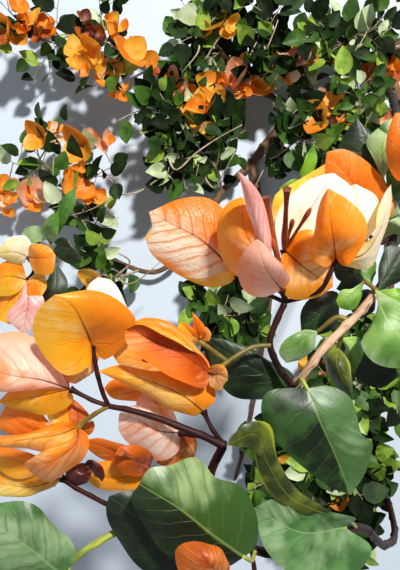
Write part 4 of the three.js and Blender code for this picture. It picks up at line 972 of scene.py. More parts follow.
make_bloom(
    "bloom_upper_right",
    [UPPER_FORK, [307, 296, 349], [322, 288, 352], [330, 274, 354], [336, 260, 354]],
    [
        sheet(
            "orange", [[333, 235, 374], [330, 212, 378], [328, 188, 378]],
            [[324, 267, 362], [309, 252, 364], [314, 228, 368], [320, 202, 373]],
            [[346, 266, 360], [363, 246, 362], [365, 220, 365], [347, 199, 371]],
            pucker=0.7,
        ),
        sheet(
            "cream", [[351, 226, 348], [356, 184, 346]], [[335, 225, 342], [341, 191, 342]],
            [[363, 243, 350], [378, 222, 350], [376, 196, 347]],
        ),
        sheet(
            "cream", [[364, 254, 352], [382, 226, 350], [391, 184, 342]],
            [[352, 248, 352], [372, 236, 357], [379, 208, 358], [386, 192, 350]],
            [[350, 268, 346], [370, 268, 341], [382, 238, 339], [392, 205, 339]],
        ),
    ],
)
make_bloom(
    "bloom_upper_back", [[393, 236, 302], [378, 243, 316], [366, 232, 324]],
    [
        sheet(
            "deep", [[356, 188, 334], [327, 152, 338]],
            [[345, 215, 330], [327, 186, 332], [325, 166, 336]],
            [[386, 216, 326], [386, 186, 330], [368, 163, 335], [344, 149, 338]],
            pucker=0.9,
        ),
        sheet(
            "deep", [[380, 202, 316], [389, 186, 316]], [[366, 205, 316], [376, 188, 316]],
            [[388, 220, 316], [394, 204, 316]],
        ),
        sheet(
            "orange", [[356, 250, 312], [350, 264, 306]], [[368, 250, 310], [362, 264, 306]],
            [[346, 238, 312], [342, 254, 306]],
        ),
    ],
)
make_bloom(
    "bloom_right_edge", [[398, 190, 268], [407, 188, 305], [412, 176, 328]],
    [
        sheet(
            "deep", [[406, 145, 348], [395, 113, 350]],
            [[396, 180, 336], [386, 155, 344], [387, 134, 347]],
            [[428, 160, 340], [425, 130, 344], [408, 113, 349]],
        ),
        sheet(
            "orange", [[424, 140, 336], [432, 110, 336]], [[408, 145, 334], [416, 118, 335]],
            [[436, 158, 334], [446, 130, 335]],
        ),
        sheet(
            "orange", [[430, 188, 332], [448, 200, 330]], [[428, 172, 332], [444, 182, 331]],
            [[414, 192, 332], [428, 204, 331]],
        ),
    ],
)

# Left group
make_bloom(
    "bloom_left_crown",
    [LEFT_FORK, [103, 394, 349], [98, 376, 351], [92, 346, 351]],
    [
        sheet(
            "gold", [[84, 326, 366], [72, 305, 374], [54, 295, 377]],
            [[90, 365, 358], [68, 375, 360], [43, 355, 362], [32, 330, 366], [39, 309, 372]],
            [[104, 360, 346], [126, 343, 350], [136, 321, 356], [120, 302, 362], [92, 290, 369]],
            pucker=0.5,
        ),
        sheet(
            "white", [[100, 310, 340], [98, 277, 342]], [[84, 318, 338], [88, 286, 341]],
            [[130, 328, 336], [124, 300, 338], [112, 281, 341]],
        ),
        sheet(
            "orange", [[88, 365, 349], [75, 384, 345]], [[98, 358, 347], [91, 374, 345]],
            [[68, 352, 348], [54, 368, 347], [64, 381, 345]],
        ),
    ],
)
make_bloom(
    "bloom_left",
    [LEFT_FORK, [97, 402, 348], [84, 396, 349], [70, 389, 350]],
    [
        sheet(
            "blush", [[42, 380, 357], [10, 375, 362], [-18, 366, 360]],
            [[48, 387, 352], [15, 390, 356], [-10, 391, 357]],
            [[62, 372, 353], [46, 346, 351], [18, 332, 350], [-10, 340, 353]],
            pucker=0.8,
        ),
        sheet(
            "gold", [[38, 396, 350], [-2, 402, 350]], [[73, 401, 345], [52, 414, 343], [20, 411, 345]],
            [[50, 381, 351], [15, 387, 351]],
        ),
        sheet(
            "orange", [[55, 355, 342], [44, 338, 341]], [[42, 376, 340], [30, 352, 339]],
            [[67, 366, 343], [61, 346, 342]],
        ),
    ],
)
make_bloom(
    "bloom_left_gold",
    [LEFT_FORK, [98, 412, 347], [88, 419, 346], [78, 427, 345]],
    [
        sheet(
            "gold", [[56, 435, 362], [15, 441, 367], [-14, 446, 362]],
            [[88, 436, 350], [84, 454, 350], [56, 454, 356], [20, 449, 362]],
            [[74, 421, 352], [52, 424, 358], [25, 435, 363], [-5, 436, 362]],
            pucker=0.3,
        ),
        sheet(
            "orange", [[74, 446, 366], [50, 462, 368], [24, 464, 360]],
            [[89, 440, 353], [84, 458, 354], [68, 470, 356], [49, 484, 355], [34, 475, 356]],
            [[68, 440, 365], [50, 449, 368], [34, 456, 364]], pucker=0.3,
        ),
        sheet(
            "deep", [[45, 432, 336], [22, 424, 338], [6, 405, 338]],
            [[52, 442, 334], [18, 440, 334], [-2, 426, 336]],
            [[52, 424, 336], [39, 411, 337], [20, 404, 338]], pucker=0.8,
        ),
        sheet(
            "yellow", [[60, 420, 338], [47, 408, 337]], [[62, 430, 338], [49, 421, 337]],
            [[72, 413, 338], [69, 402, 337], [56, 402, 337]],
        ),
        sheet(
            "rust", [[78, 413, 338], [72, 398, 336]], [[70, 419, 341], [69, 404, 338]],
            [[89, 419, 336], [83, 407, 335]],
        ),
        sheet(
            "rust", [[87, 429, 339], [95, 426, 337]], [[86, 423, 340], [93, 421, 338]],
            [[83, 437, 338], [92, 433, 337]],
        ),
    ],
    stem=OLIVE_TWIG,
)
make_bloom(
    "bloom_left_low",
    [[215, 516, 340], [150, 521, 334], [107, 504, 341], [80, 490, 344], [61, 478, 346]],
    [
        sheet(
            "yellow", [[30, 487, 340], [-10, 482, 337]],
            [[56, 485, 342], [36, 493, 339], [15, 498, 337], [-5, 494, 336]],
            [[46, 472, 341], [22, 462, 341], [0, 466, 338]],
        ),
        sheet(
            "gold", [[25, 463, 345], [-12, 455, 344]], [[40, 475, 343], [10, 478, 343]],
            [[40, 458, 345], [15, 448, 346], [-5, 447, 345]],
        ),
        sheet(
            "orange", [[46, 484, 334], [34, 487, 331]], [[52, 488, 334], [40, 491, 331]],
            [[46, 478, 334], [36, 481, 331]],
        ),
    ],
)
make_bloom(
    "bloom_young_dark", [[73, 486, 344], [79, 477, 343], [84, 464, 342]],
    [
        sheet(
            "maroon", [[80, 474, 350], [76, 486, 345]], [[91, 471, 346], [88, 483, 345]],
            [[74, 463, 347], [66, 473, 347], [69, 482, 345]],
        ),
        sheet(
            "maroon", [[96, 467, 348], [102, 482, 342]],
            [[91, 459, 347], [101, 465, 347], [105, 475, 344]], [[90, 469, 345], [95, 475, 344]],
        ),
    ],
    pucker=0.2,
)

# Middle group
make_bloom(
    "bloom_middle_red",
    [[270, 345, 345], [254, 347, 347], [241, 353, 349], [226, 363, 350], [211, 374, 350]],
    [
        sheet(
            "red", [[188, 358, 360], [158, 342, 364], [125, 330, 369]],
            [[206, 387, 353], [180, 381, 364], [148, 362, 370], [126, 342, 371]],
            [[206, 361, 353], [188, 348, 364], [165, 335, 370], [140, 325, 372]],
        ),
        sheet(
            "gold", [[188, 345, 348], [160, 328, 350], [133, 322, 348]],
            [[190, 366, 347], [150, 345, 348]],
            [[208, 360, 347], [194, 345, 347], [172, 325, 347], [148, 317, 348]],
        ),
        sheet(
            "orange", [[165, 366, 344], [112, 354, 342]],
            [[190, 388, 342], [150, 379, 340], [122, 367, 340]], [[170, 350, 345], [125, 340, 343]],
        ),
        sheet(
            "orange", [[221, 375, 355], [228, 380, 352]],
            [[210, 366, 356], [221, 364, 358], [227, 371, 356]], [[210, 386, 351], [220, 389, 350]],
        ),
    ],
    stem=OLIVE_TWIG, buds=[[142, 360, 352]],
)
make_bloom(
    "bloom_middle_gold", [[224, 444, 346], [213, 430, 346], [203, 411, 345]],
    [
        sheet(
            "gold", [[180, 394, 354], [140, 378, 358], [98, 371, 357]],
            [[196, 416, 344], [170, 408, 350], [138, 391, 354], [112, 378, 356]],
            [[215, 400, 345], [214, 385, 343], [188, 373, 349], [150, 371, 353], [118, 365, 355]],
        ),
        sheet(
            "deep", [[150, 392, 332], [104, 388, 330]], [[140, 402, 330], [112, 398, 329]],
            [[150, 380, 332], [112, 380, 330]],
        ),
        sheet(
            "orange", [[196, 386, 336], [188, 362, 332]], [[184, 388, 335], [180, 368, 332]],
            [[207, 388, 335], [199, 366, 332]],
        ),
    ],
)
make_bloom(
    "bloom_middle_pink", [[205, 437, 346], [192, 435, 341], [180, 433, 337]],
    [
        sheet(
            "rosy", [[156, 430, 342], [141, 421, 343], [119, 414, 341]],
            [[178, 452, 335], [160, 460, 334], [136, 450, 335], [119, 431, 339]],
            [[172, 418, 340], [150, 407, 342], [130, 406, 342]], pucker=0.9,
        ),
        sheet(
            "blush", [[163, 412, 334], [146, 389, 332]], [[155, 420, 335], [136, 404, 333]],
            [[177, 418, 333], [161, 396, 331]],
        ),
        sheet(
            "rust", [[186, 448, 329], [170, 469, 325]],
            [[196, 440, 328], [195, 456, 325], [184, 468, 324]], [[172, 450, 328], [156, 462, 325]],
        ),
    ],
)
make_bloom(
    "bloom_middle_low", [[150, 521, 334], [154, 496, 330], [149, 470, 330]],
    [
        sheet(
            "rust", [[116, 452, 336], [86, 440, 335]], [[125, 466, 333], [99, 458, 333], [88, 449, 334]],
            [[137, 450, 337], [112, 441, 337], [98, 438, 336]],
        ),
        sheet(
            "orange", [[118, 478, 334], [86, 472, 334]],
            [[146, 485, 330], [120, 491, 331], [94, 487, 332]], [[128, 463, 335], [102, 461, 335]],
        ),
        sheet(
            "rust", [[132, 459, 346], [114, 459, 348]], [[142, 476, 338], [122, 473, 344]],
            [[153, 456, 338], [137, 445, 345], [119, 448, 348]],
        ),
    ],
    flowers=[[121, 452, 354]],
)
make_bloom(
    "bloom_young_spiky", [[228, 362, 350], [212, 350, 341], [200, 342, 337]],
    [
        sheet(
            "deep", [[197, 330, 342], [192, 312, 344]], [[191, 334, 341], [194, 320, 343]],
            [[206, 336, 341], [204, 325, 343]],
        ),
        sheet(
            "gold", [[190, 332, 342], [180, 322, 342]], [[186, 340, 340], [177, 330, 341]],
            [[194, 330, 342], [186, 323, 343]],
        ),
        sheet(
            "orange", [[206, 336, 340], [208, 328, 342]], [[200, 334, 341], [203, 327, 342]],
            [[208, 342, 338], [211, 334, 340]],
        ),
        sheet(
            "gold", [[188, 338, 338], [180, 337, 337]], [[190, 344, 336], [183, 343, 336]],
            [[190, 334, 339], [182, 331, 338]],
        ),
    ],
    stem=OLIVE_TWIG, pucker=0.4,
)

# Far left, half way down
make_bloom(
    "bloom_far_left", [[33, 264, 231], [30, 261, 238], [28, 257, 242]],
    [
        sheet(
            "cream", [[14, 252, 248], [-4, 254, 246]], [[24, 263, 240], [8, 262, 242]],
            [[26, 240, 248], [8, 240, 250]],
        ),
        sheet(
            "orange", [[42, 258, 250], [56, 256, 250]], [[30, 245, 248], [48, 246, 250]],
            [[34, 272, 244], [52, 273, 246]],
        ),
        sheet(
            "white", [[22, 245, 240], [14, 236, 240]], [[12, 250, 240], [5, 240, 240]],
            [[32, 247, 240], [26, 236, 240]],
        ),
    ],
)
make_bloom(
    "bloom_far_left_low", [[34, 260, 226], [33, 272, 228], [27, 280, 232]],
    [
        sheet(
            "yellow", [[8, 276, 240], [-8, 282, 238]], [[18, 292, 234], [-2, 296, 236]],
            [[20, 262, 240], [0, 264, 240]],
        ),
        sheet(
            "pink", [[28, 305, 240], [22, 334, 238]], [[44, 300, 236], [40, 322, 236]],
            [[14, 306, 238], [6, 316, 240]],
        ),
        sheet(
            "gold", [[10, 300, 230], [-2, 320, 228]], [[22, 305, 230], [14, 324, 228]],
            [[8, 286, 230], [-6, 300, 228]],
        ),
        sheet(
            "gold", [[38, 280, 238], [42, 296, 236]], [[42, 270, 236], [47, 286, 236]],
            [[27, 290, 238], [33, 300, 237]],
        ),
    ],
)

# Half off the lower edge of the picture
make_bloom(
    "bloom_low_edge",
    [[252, 550, 334], [254, 578, 345], [240, 588, 362], [226, 580, 371]],
    [
        sheet(
            "rust", [[205, 560, 380], [194, 541, 376]],
            [[206, 580, 376], [180, 572, 374], [174, 553, 374], [182, 544, 375]],
            [[230, 565, 374], [220, 550, 374], [207, 543, 375]],
        ),
    ],
)


# Broad leaves, given like the bracts

PETIOLE_RADIUS = 1.1


def make_leaf(name, stalk, blade, pucker=0.6):
    """A broad leaf on its stalk."""
    shape = Shape()
    along = Line(placed(stalk)).points(STALK_STEP)
    radii = np.linspace(1, 0.8, len(along)) * PETIOLE_RADIUS
    add_tube(shape, along, radii, STALK_SIDES)
    add_sheet(
        shape, [along[-2], *blade["rib"]], blade["left"], blade["right"], rows=44, columns=30,
        pucker=pucker, wave=0.8, seed=len(name), slot=1,
    )
    shape.make(name + "_blade", [GREEN_TWIG, LEAVES[blade["look"]]], [name])


make_leaf(
    "leaf_low_front", [[255, 550, 334], [252, 560, 346], [244, 557, 358]],
    sheet(
        "front", [[213, 535, 364], [180, 509, 368], [139, 484, 368]],
        [[225, 568, 356], [175, 558, 360], [143, 526, 364], [131, 500, 366]],
        [
            [256, 545, 352], [256, 512, 356], [240, 485, 360], [214, 477, 362], [196, 457, 364],
            [170, 465, 364], [149, 469, 366],
        ],
    ),
)
make_leaf(
    "leaf_low_dark", [[226, 528, 338], [232, 540, 345], [228, 548, 350]],
    sheet(
        "dark", [[180, 540, 350], [140, 519, 352], [109, 496, 352]],
        [[210, 575, 346], [150, 572, 346], [112, 532, 348], [106, 508, 351]],
        [[200, 510, 346], [150, 489, 348], [125, 491, 351]],
    ),
)
make_leaf(
    "leaf_low_corner", [[68, 564, 342], [68, 574, 347], [62, 576, 352]],
    sheet(
        "grey", [[25, 545, 360], [-26, 512, 358]], [[40, 592, 350], [-10, 585, 350], [-32, 545, 355]],
        [[76, 552, 350], [50, 519, 354], [26, 502, 357], [-5, 504, 358]],
    ),
)
make_leaf(
    "leaf_right_large", [[298, 382, 342], [302, 380, 350], [308, 390, 352]],
    sheet(
        "large", [[318, 416, 356], [334, 452, 352], [351, 495, 344]],
        [[330, 386, 351], [351, 398, 352], [360, 433, 352], [373, 443, 350], [366, 472, 346]],
        [
            [290, 388, 350], [266, 393, 350], [261, 412, 352], [272, 436, 352], [298, 462, 350],
            [330, 487, 346],
        ],
    ),
)
make_leaf(
    "leaf_olive", [[356, 528, 292], [352, 523, 308], [345, 519, 322]],
    sheet(
        "olive",
        [[318, 511, 334], [288, 495, 344], [267, 462, 352], [255, 434, 361], [227, 445, 362]],
        [[320, 516, 331], [284, 506, 340], [261, 480, 348], [251, 450, 357], [240, 447, 361]],
        [[322, 506, 334], [298, 490, 342], [277, 457, 350], [267, 423, 356], [243, 425, 362]],
    ),
    pucker=0.2,
)
make_leaf(
    "leaf_low_right", [[340, 534, 302], [346, 532, 312], [345, 527, 318]],
    sheet(
        "grey", [[300, 532, 337], [254, 508, 342]],
        [[372, 548, 322], [352, 576, 327], [300, 578, 338], [266, 550, 342]],
        [[356, 518, 326], [334, 514, 330], [302, 513, 338], [274, 499, 342]],
    ),
)
make_leaf(
    "leaf_centre_dark", [[300, 380, 341], [300, 388, 336], [296, 392, 332]],
    sheet(
        "dark", [[250, 367, 338], [203, 337, 336]], [[270, 400, 330], [230, 393, 332], [207, 363, 334]],
        [[292, 374, 332], [262, 355, 336], [226, 340, 337]],
    ),
)


# Leafy twigs of the shoots

LEAFY_TWIG_RADII = (1.3, 0.9)


def make_leafy_twig(name, stem, leaves):
    """A twig with leaves, each of which starts at its share of the twig's length."""
    shape = Shape()
    line = Line(placed(stem))
    along = line.points(1.0)
    relief = bark_relief(len(name), ridges=4, rough=0.03, knot_step=10, knot_size=0.2)
    add_tube(shape, along, np.linspace(*LEAFY_TWIG_RADII, len(along)), STALK_SIDES, relief)
    looks = list(LEAVES)
    for number, leaf in enumerate(leaves):
        add_sheet(
            shape, [line.at(leaf["at"]), *leaf["rib"]], leaf["left"], leaf["right"], rows=26, columns=18,
            pucker=0.35, wave=0.5, seed=7 * len(name) + number, slot=1 + looks.index(leaf["look"]),
        )
    shape.make(name + "_leaves", [OLIVE_TWIG, *LEAVES.values()], [name])


make_leafy_twig(
    "leafy_twig_low", [[350, 322, 334], [338, 317, 333], [318, 331, 329]],
    [
        sheet(
            "pale", [[300, 344, 335], [286, 363, 330]], [[314, 347, 328], [300, 360, 328]],
            [[303, 330, 334], [284, 341, 334], [279, 353, 332]], at=1,
        ),
        sheet(
            "dark", [[325, 312, 322], [301, 332, 318]], [[332, 330, 318], [312, 336, 316]],
            [[336, 291, 322], [312, 297, 320], [301, 312, 318]], at=0.3,
        ),
    ],
)
make_leafy_twig(
    "leafy_twig_middle", [[342, 330, 337], [341, 338, 333], [338, 347, 331]],
    [
        sheet(
            "olive", [[337, 365, 340], [353, 400, 334]], [[345, 354, 336], [352, 378, 336]],
            [[326, 352, 332], [326, 369, 332], [340, 388, 332]], at=1,
        ),
        sheet(
            "bright", [[353, 350, 332], [354, 374, 328]], [[358, 338, 329], [363, 356, 328]],
            [[344, 350, 328], [345, 366, 327]], at=0.5,
        ),
        sheet(
            "dark", [[366, 366, 320], [400, 376, 318]], [[364, 352, 320], [388, 360, 319]],
            [[352, 374, 318], [380, 388, 317]], at=0.7,
        ),
    ],
)
make_leafy_twig(
    "leafy_twig_right", [[378, 292, 329], [371, 286, 332], [364, 281, 334]],
    [
        sheet(
            "bright", [[351, 296, 338], [336, 301, 336]],
            [[360, 300, 334], [352, 310, 336], [340, 308, 336]], [[352, 288, 337], [340, 292, 336]], at=1,
        ),
        sheet(
            "dark", [[350, 281, 326], [336, 289, 324]], [[357, 291, 324], [345, 293, 324]],
            [[359, 273, 326], [345, 277, 325]], at=0.9,
        ),
        sheet(
            "dark", [[366, 274, 320], [352, 264, 318]], [[356, 278, 318], [347, 270, 317]],
            [[374, 265, 320], [362, 257, 318]], at=0.5,
        ),
        sheet(
            "fresh", [[364, 271, 326], [367, 256, 326]], [[355, 273, 324], [358, 260, 325]],
            [[373, 275, 324], [376, 262, 325]], at=0.6,
        ),
        sheet(
            "dark", [[348, 275, 316], [333, 268, 314]], [[350, 286, 314], [337, 279, 313]],
            [[351, 265, 315], [338, 260, 314]], at=0.8,
        ),
        sheet(
            "dark", [[366, 301, 318], [350, 309, 316]], [[373, 312, 316], [359, 319, 315]],
            [[359, 291, 317], [349, 300, 316]], at=0.2,
        ),
        sheet(
            "pale", [[386, 318, 344], [402, 340, 347], [414, 366, 340]],
            [[396, 300, 340], [425, 320, 341], [428, 350, 340]],
            [[381, 306, 338], [369, 327, 341], [361, 343, 342], [372, 361, 343], [395, 368, 341]],
            at=0.3,
        ),
        sheet(
            "bright", [[395, 299, 334], [418, 302, 332]], [[388, 289, 332], [410, 291, 331]],
            [[387, 305, 332], [408, 312, 330]], at=0.1,
        ),
        sheet(
            "dark", [[392, 268, 328], [404, 247, 326]], [[380, 262, 326], [388, 246, 326]],
            [[403, 279, 326], [410, 260, 326]], at=0.05,
        ),
    ],
)
make_leafy_twig(
    "leafy_twig_upper", [[397, 214, 288], [390, 200, 302], [382, 178, 316]],
    [
        sheet(
            "dark", [[369, 150, 324], [357, 118, 324]],
            [[352, 176, 318], [338, 150, 320], [346, 132, 322]], [[386, 160, 321], [370, 132, 323]], at=1,
        ),
        sheet(
            "pale", [[381, 152, 328], [378, 128, 330]], [[373, 158, 326], [366, 141, 328]],
            [[391, 160, 326], [390, 138, 328]], at=0.95,
        ),
        sheet(
            "fresh", [[396, 150, 318], [392, 118, 318]], [[384, 150, 316], [380, 126, 317]],
            [[408, 160, 314], [406, 130, 316]], at=0.7,
        ),
        sheet(
            "pale", [[398, 226, 304], [382, 244, 304]], [[404, 238, 302], [392, 250, 302]],
            [[386, 220, 304], [380, 234, 304]], at=0.2,
        ),
        sheet(
            "dark", [[376, 214, 300], [352, 205, 298]], [[376, 228, 298], [358, 222, 298]],
            [[378, 200, 300], [360, 194, 299]], at=0.4,
        ),
        sheet(
            "pale", [[397, 206, 306], [385, 213, 308]], [[399, 214, 304], [390, 218, 306]],
            [[394, 200, 306], [387, 205, 307]], at=0.1,
        ),
        sheet(
            "fresh", [[402, 188, 312], [398, 172, 314]], [[392, 190, 310], [390, 178, 312]],
            [[410, 192, 310], [408, 178, 312]], at=0.3,
        ),
    ],
)
make_leafy_twig(
    "leafy_twig_back",
    [[399, 158, 235], [372, 172, 262], [332, 187, 280], [304, 181, 288]],
    [
        sheet(
            "bright", [[308, 165, 292], [314, 143, 294]], [[300, 172, 292], [307, 155, 294]],
            [[312, 175, 290], [317, 158, 292]], at=1,
        ),
        sheet(
            "bright", [[292, 184, 291], [279, 189, 290]], [[295, 190, 289], [284, 191, 290]],
            [[294, 179, 291], [284, 184, 291]], at=0.97,
        ),
        sheet(
            "dark", [[342, 206, 268], [330, 218, 264]], [[352, 214, 264], [342, 224, 262]],
            [[334, 198, 270], [322, 206, 266]], at=0.55,
        ),
        sheet(
            "dark", [[362, 150, 268], [356, 130, 268]], [[352, 158, 266], [346, 140, 266]],
            [[374, 154, 266], [370, 136, 266]], at=0.4,
        ),
    ],
)
make_leafy_twig(
    "leafy_twig_left", [[42, 236, 150], [50, 242, 186], [56, 262, 205]],
    [
        sheet(
            "dark", [[54, 290, 212], [34, 312, 210]], [[68, 284, 208], [58, 304, 208], [44, 312, 208]],
            [[44, 284, 210], [32, 300, 210]], at=1,
        ),
        sheet(
            "pale", [[48, 226, 204], [58, 212, 208]], [[42, 232, 202], [49, 216, 206]],
            [[57, 238, 202], [59, 222, 206]], at=0.6,
        ),
        sheet(
            "dark", [[66, 248, 206], [82, 262, 204]], [[64, 238, 206], [78, 250, 205]],
            [[56, 256, 204], [70, 264, 203]], at=0.8,
        ),
        sheet(
            "pale", [[36, 232, 196], [20, 236, 196]], [[38, 242, 194], [26, 244, 195]],
            [[40, 226, 196], [26, 228, 196]], at=0.45,
        ),
        sheet(
            "fresh", [[64, 210, 204], [76, 188, 204]], [[56, 214, 203], [66, 194, 204]],
            [[68, 218, 203], [76, 202, 204]], at=0.7,
        ),
    ],
)


# Low sprays, grown by the solids' rule and on to finer twigs

TWIG_SHARES = [0.3, 0.55, 0.8]
FINE_SHARES = [0.15, 0.35, 0.55, 0.75, 0.95]
OPEN_SHARES = [0.35, 0.7]
DENSE_SHARES = [0.1, 0.25, 0.4, 0.55, 0.7, 0.85, 1.0]
LEAF_SEED = 1000
BLOOM_SEED = 2000
FINE_SEED = 3000
SMALL_LEAF = 27
SMALL_LEAF_STEP = 7
LEAF_WIDTH_SHARE = 0.68
LEAF_STALK = 3
LEAF_STALK_RADIUS = 0.35
SMALL_BRACT = 24
BRACT_WIDTH_SHARE = 1.1
BRACT_TURNS = (0, 120, 240)
CLUSTER_TURNS = (0, 120, 240, 300)
CLUSTER_SPREAD = 0.7
SPOTS_PER_TWIG = 21
ALONG_GROUND = 1.0
TRIES = 4

# Radii of the sprays' stems and twigs in mm, where they start and end
SPRAY_STEM_RADII = (1.6, 0.7)
SIDE_TWIG_RADII = (0.95, 0.5)
FINE_TWIG_RADII = (0.7, 0.35)
BARE_TWIG_RADII = (1.1, 0.5)
BLOOM_STALK_RADII = (0.6, 0.6)

# What the sprays' leaves, bracts and twigs are drawn from: shares of a size, degrees or mm
LEAF_SIZES = (0.6, 1.15)
LEAF_TURNS = (35, 95)
END_LEAF_TURNS = (-30, 30)
LEAF_RISES = (-15, 55)
LEAF_ROLLS = (-50, 50)
LEAF_CUPS = (10, 50)
LEAF_CURLS = (-10, 45)
BRACT_SIZES = (0.85, 1.1)
BRACT_OPENINGS = (35, 80)
OTHER_TINT_SHARE = 0.3
BLOOM_LEANS = (-0.7, 0.7)
CLUSTER_SIZES = (0.5, 0.6)
CLUSTER_SWINGS = (-30, 30)
CLUSTER_REACHES = (0.3, 1)
CLUSTER_LIFTS = (-4, 4)
SIDE_TWIG_TURNS = (45, 70)
SIDE_TWIG_RISES = (0, 35)
SIDE_TWIG_LENGTHS = (34, 54)
FINE_TWIG_TURNS = (35, 75)
FINE_TWIG_RISES = (-10, 50)
FINE_TWIG_LENGTHS = (18, 32)

# Each spray tint's dark and light tones, its roughness and how much light comes through
SPRAY_LEAVES = by_look("spray_leaf", spray_material, [
    # black leaves are painted shade of foliage in shadow; dark ones partly painted shade
    ["black", "#0a1406", "#16260c", 0.7, 0.03, {"gloss": 0.12}],
    ["dark", "#14280c", "#24400f", 0.6, 0.06, {"gloss": 0.2}],
    ["mid", "#2a4c12", "#456a1e", 0.5, 0.12, {"gloss": 0.3}],
    ["light", "#6f9430", "#9cba48", 0.4, 0.18, {}],
    # pale leaves are painted highlight on sunlit leaves
    ["pale", "#a4b884", "#c9d6b0", 0.45, 0.18, {}],
])
SPRAY_BRACTS = by_look("spray_bract", spray_material, [
    ["orange", "#f08416", "#fba534", 0.5, 0.4, {}],
    ["gold", "#f8a824", "#fdc852", 0.5, 0.4, {}],
    ["pale", "#f6bf8c", "#fce2c4", 0.5, 0.35, {}],
    ["pink", "#f3a272", "#fac8a8", 0.5, 0.4, {}],
    ["brown", "#93400e", "#c0641f", 0.5, 0.25, {}],
    ["maroon", "#3a1008", "#6a2410", 0.5, 0.15, {}],
])
SHADY_TINTS = {"black": 5, "dark": 4, "mid": 2.5, "light": 2, "pale": 1}
NEXT_TINT = {
    "orange": "gold",
    "gold": "orange",
    "pale": "orange",
    "pink": "orange",
    "brown": "orange",
    "maroon": "brown",
}

spray_twigs = Shape()
spray_leaves = {tint: Shape() for tint in SPRAY_LEAVES}
spray_bracts = {tint: Shape() for tint in SPRAY_BRACTS}


def pick(draw, shares):
    """One of the names, each as often as its share says."""
    goal = draw() * sum(shares.values())
    for name, share in shares.items():
        goal -= share
        if goal <= 0:
            return name
    return name


def sideways(direction, turn, rise):
    """The direction a leaf or twig leaves a stem: turned to one side about the upright, then raised."""
    flat = turned(unit(np.array([direction[0], direction[1], 0.0])), UP, turn)
    return flat * math.cos(math.radians(rise)) + UP * math.sin(math.radians(rise))


def fits(box, point):
    """Whether the point lies within the solid's box, and off the ground."""
    low, high = (np.array(corner) / MM for corner in box)
    low[2] = ALONG_GROUND
    return np.all(point >= low) and np.all(point <= high)


def first_that_fits(box, make):
    """The first of a few tries whose end lies in the box, or nothing."""
    for _ in range(TRIES):
        end = make()
        if fits(box, end):
            return end
    return None


def add_twig(line, step, radii, sides=5, relief=None):
    """A twig or stem of a spray, in rings about a step apart."""
    points = line.points(step)
    add_tube(spray_twigs, points, np.linspace(*radii, len(points)), sides, relief)


def grow_leaves(line, draw, box, tints, step):
    """Small leaves along a line, from one side and the other, with the last at its end."""
    count = max(2, round(line.length / step))
    for number in range(1, count + 1):
        share = number / count
        root = line.at(share)
        length = SMALL_LEAF * between(draw, *LEAF_SIZES)

        def leaf_tip():
            side = 1 if number % 2 else -1
            turn = between(draw, *END_LEAF_TURNS) if number == count else side * between(draw, *LEAF_TURNS)
            return root + sideways(line.heading(share), turn, between(draw, *LEAF_RISES)) * length

        tip = first_that_fits(box, leaf_tip)
        tint = pick(draw, tints)
        roll, cup, curl = (between(draw, *limits) for limits in (LEAF_ROLLS, LEAF_CUPS, LEAF_CURLS))
        if tip is None:
            continue
        stalk_end = root + unit(tip - root) * LEAF_STALK + UP * 0.4
        stalk = np.array([root, (root + stalk_end) / 2, stalk_end])
        add_tube(spray_twigs, stalk, [LEAF_STALK_RADIUS] * 3, 3)
        width = length * LEAF_WIDTH_SHARE
        add_blade(spray_leaves[tint], stalk_end, tip, width, LEAF_OUTLINE, roll, cup, curl)


def grow_bloom(centre, draw, box, tint, size=SMALL_BRACT):
    """A small bloom that faces up and a little aside, with three broad bracts round its middle."""
    facing = unit(np.array([between(draw, *BLOOM_LEANS), between(draw, *BLOOM_LEANS), 1.0]))
    across = unit(np.cross([1.0, 0.0, 0.0], facing))
    start = between(draw, 0, 360)
    for turn in BRACT_TURNS:
        out = turned(across, facing, start + turn)
        opening = math.radians(between(draw, *BRACT_OPENINGS))
        length = size * between(draw, *BRACT_SIZES)
        tip = centre + length * (facing * math.cos(opening) + out * math.sin(opening))
        tinted = NEXT_TINT[tint] if draw() < OTHER_TINT_SHARE else tint
        if fits(box, tip):
            add_blade(
                spray_bracts[tinted], centre - facing * 0.5, tip, length * BRACT_WIDTH_SHARE, BRACT_OUTLINE,
                roll=0, cup=30, curl=-30, face=facing, rows=9, columns=6,
            )


def grow_cluster(centre, size, draw, box, tint):
    """Four small blooms close together, spread round the middle of a cluster of the size."""
    small = size * between(draw, *CLUSTER_SIZES)
    for turn in CLUSTER_TURNS:
        aside = turned(np.array([1.0, 0.0, 0.0]), UP, turn + between(draw, *CLUSTER_SWINGS))
        place = centre + aside * size * CLUSTER_SPREAD * between(draw, *CLUSTER_REACHES)
        grow_bloom(place + UP * between(draw, *CLUSTER_LIFTS), draw, box, tint, small)


def side_twigs(line, draw):
    """The side twigs of a spray's stem, each as the points it passes through."""
    twigs = []
    for number, share in enumerate(TWIG_SHARES):
        start = line.at(share)
        turn = (1 if number % 2 else -1) * between(draw, *SIDE_TWIG_TURNS)
        heading = sideways(line.heading(share), turn, between(draw, *SIDE_TWIG_RISES))
        end = start + heading * between(draw, *SIDE_TWIG_LENGTHS)
        middle = (start + end) / 2
        middle[2] += 4
        twigs.append([start, middle, end])
    return twigs


def grow_fine_twigs(twig, shares, draw, box, tints, step):
    """Fine twigs with leaves, from one side of a twig and the other."""
    for number, share in enumerate(shares):
        start = twig.at(share)

        def twig_end():
            turn = (-1 if number % 2 else 1) * between(draw, *FINE_TWIG_TURNS)
            heading = sideways(twig.heading(share), turn, between(draw, *FINE_TWIG_RISES))
            return start + heading * between(draw, *FINE_TWIG_LENGTHS)

        end = first_that_fits(box, twig_end)
        if end is None:
            continue
        fine = Line([start, (start + end) / 2 + UP * 2, end])
        add_twig(fine, 6, FINE_TWIG_RADII)
        grow_leaves(fine, draw, box, tints, step)


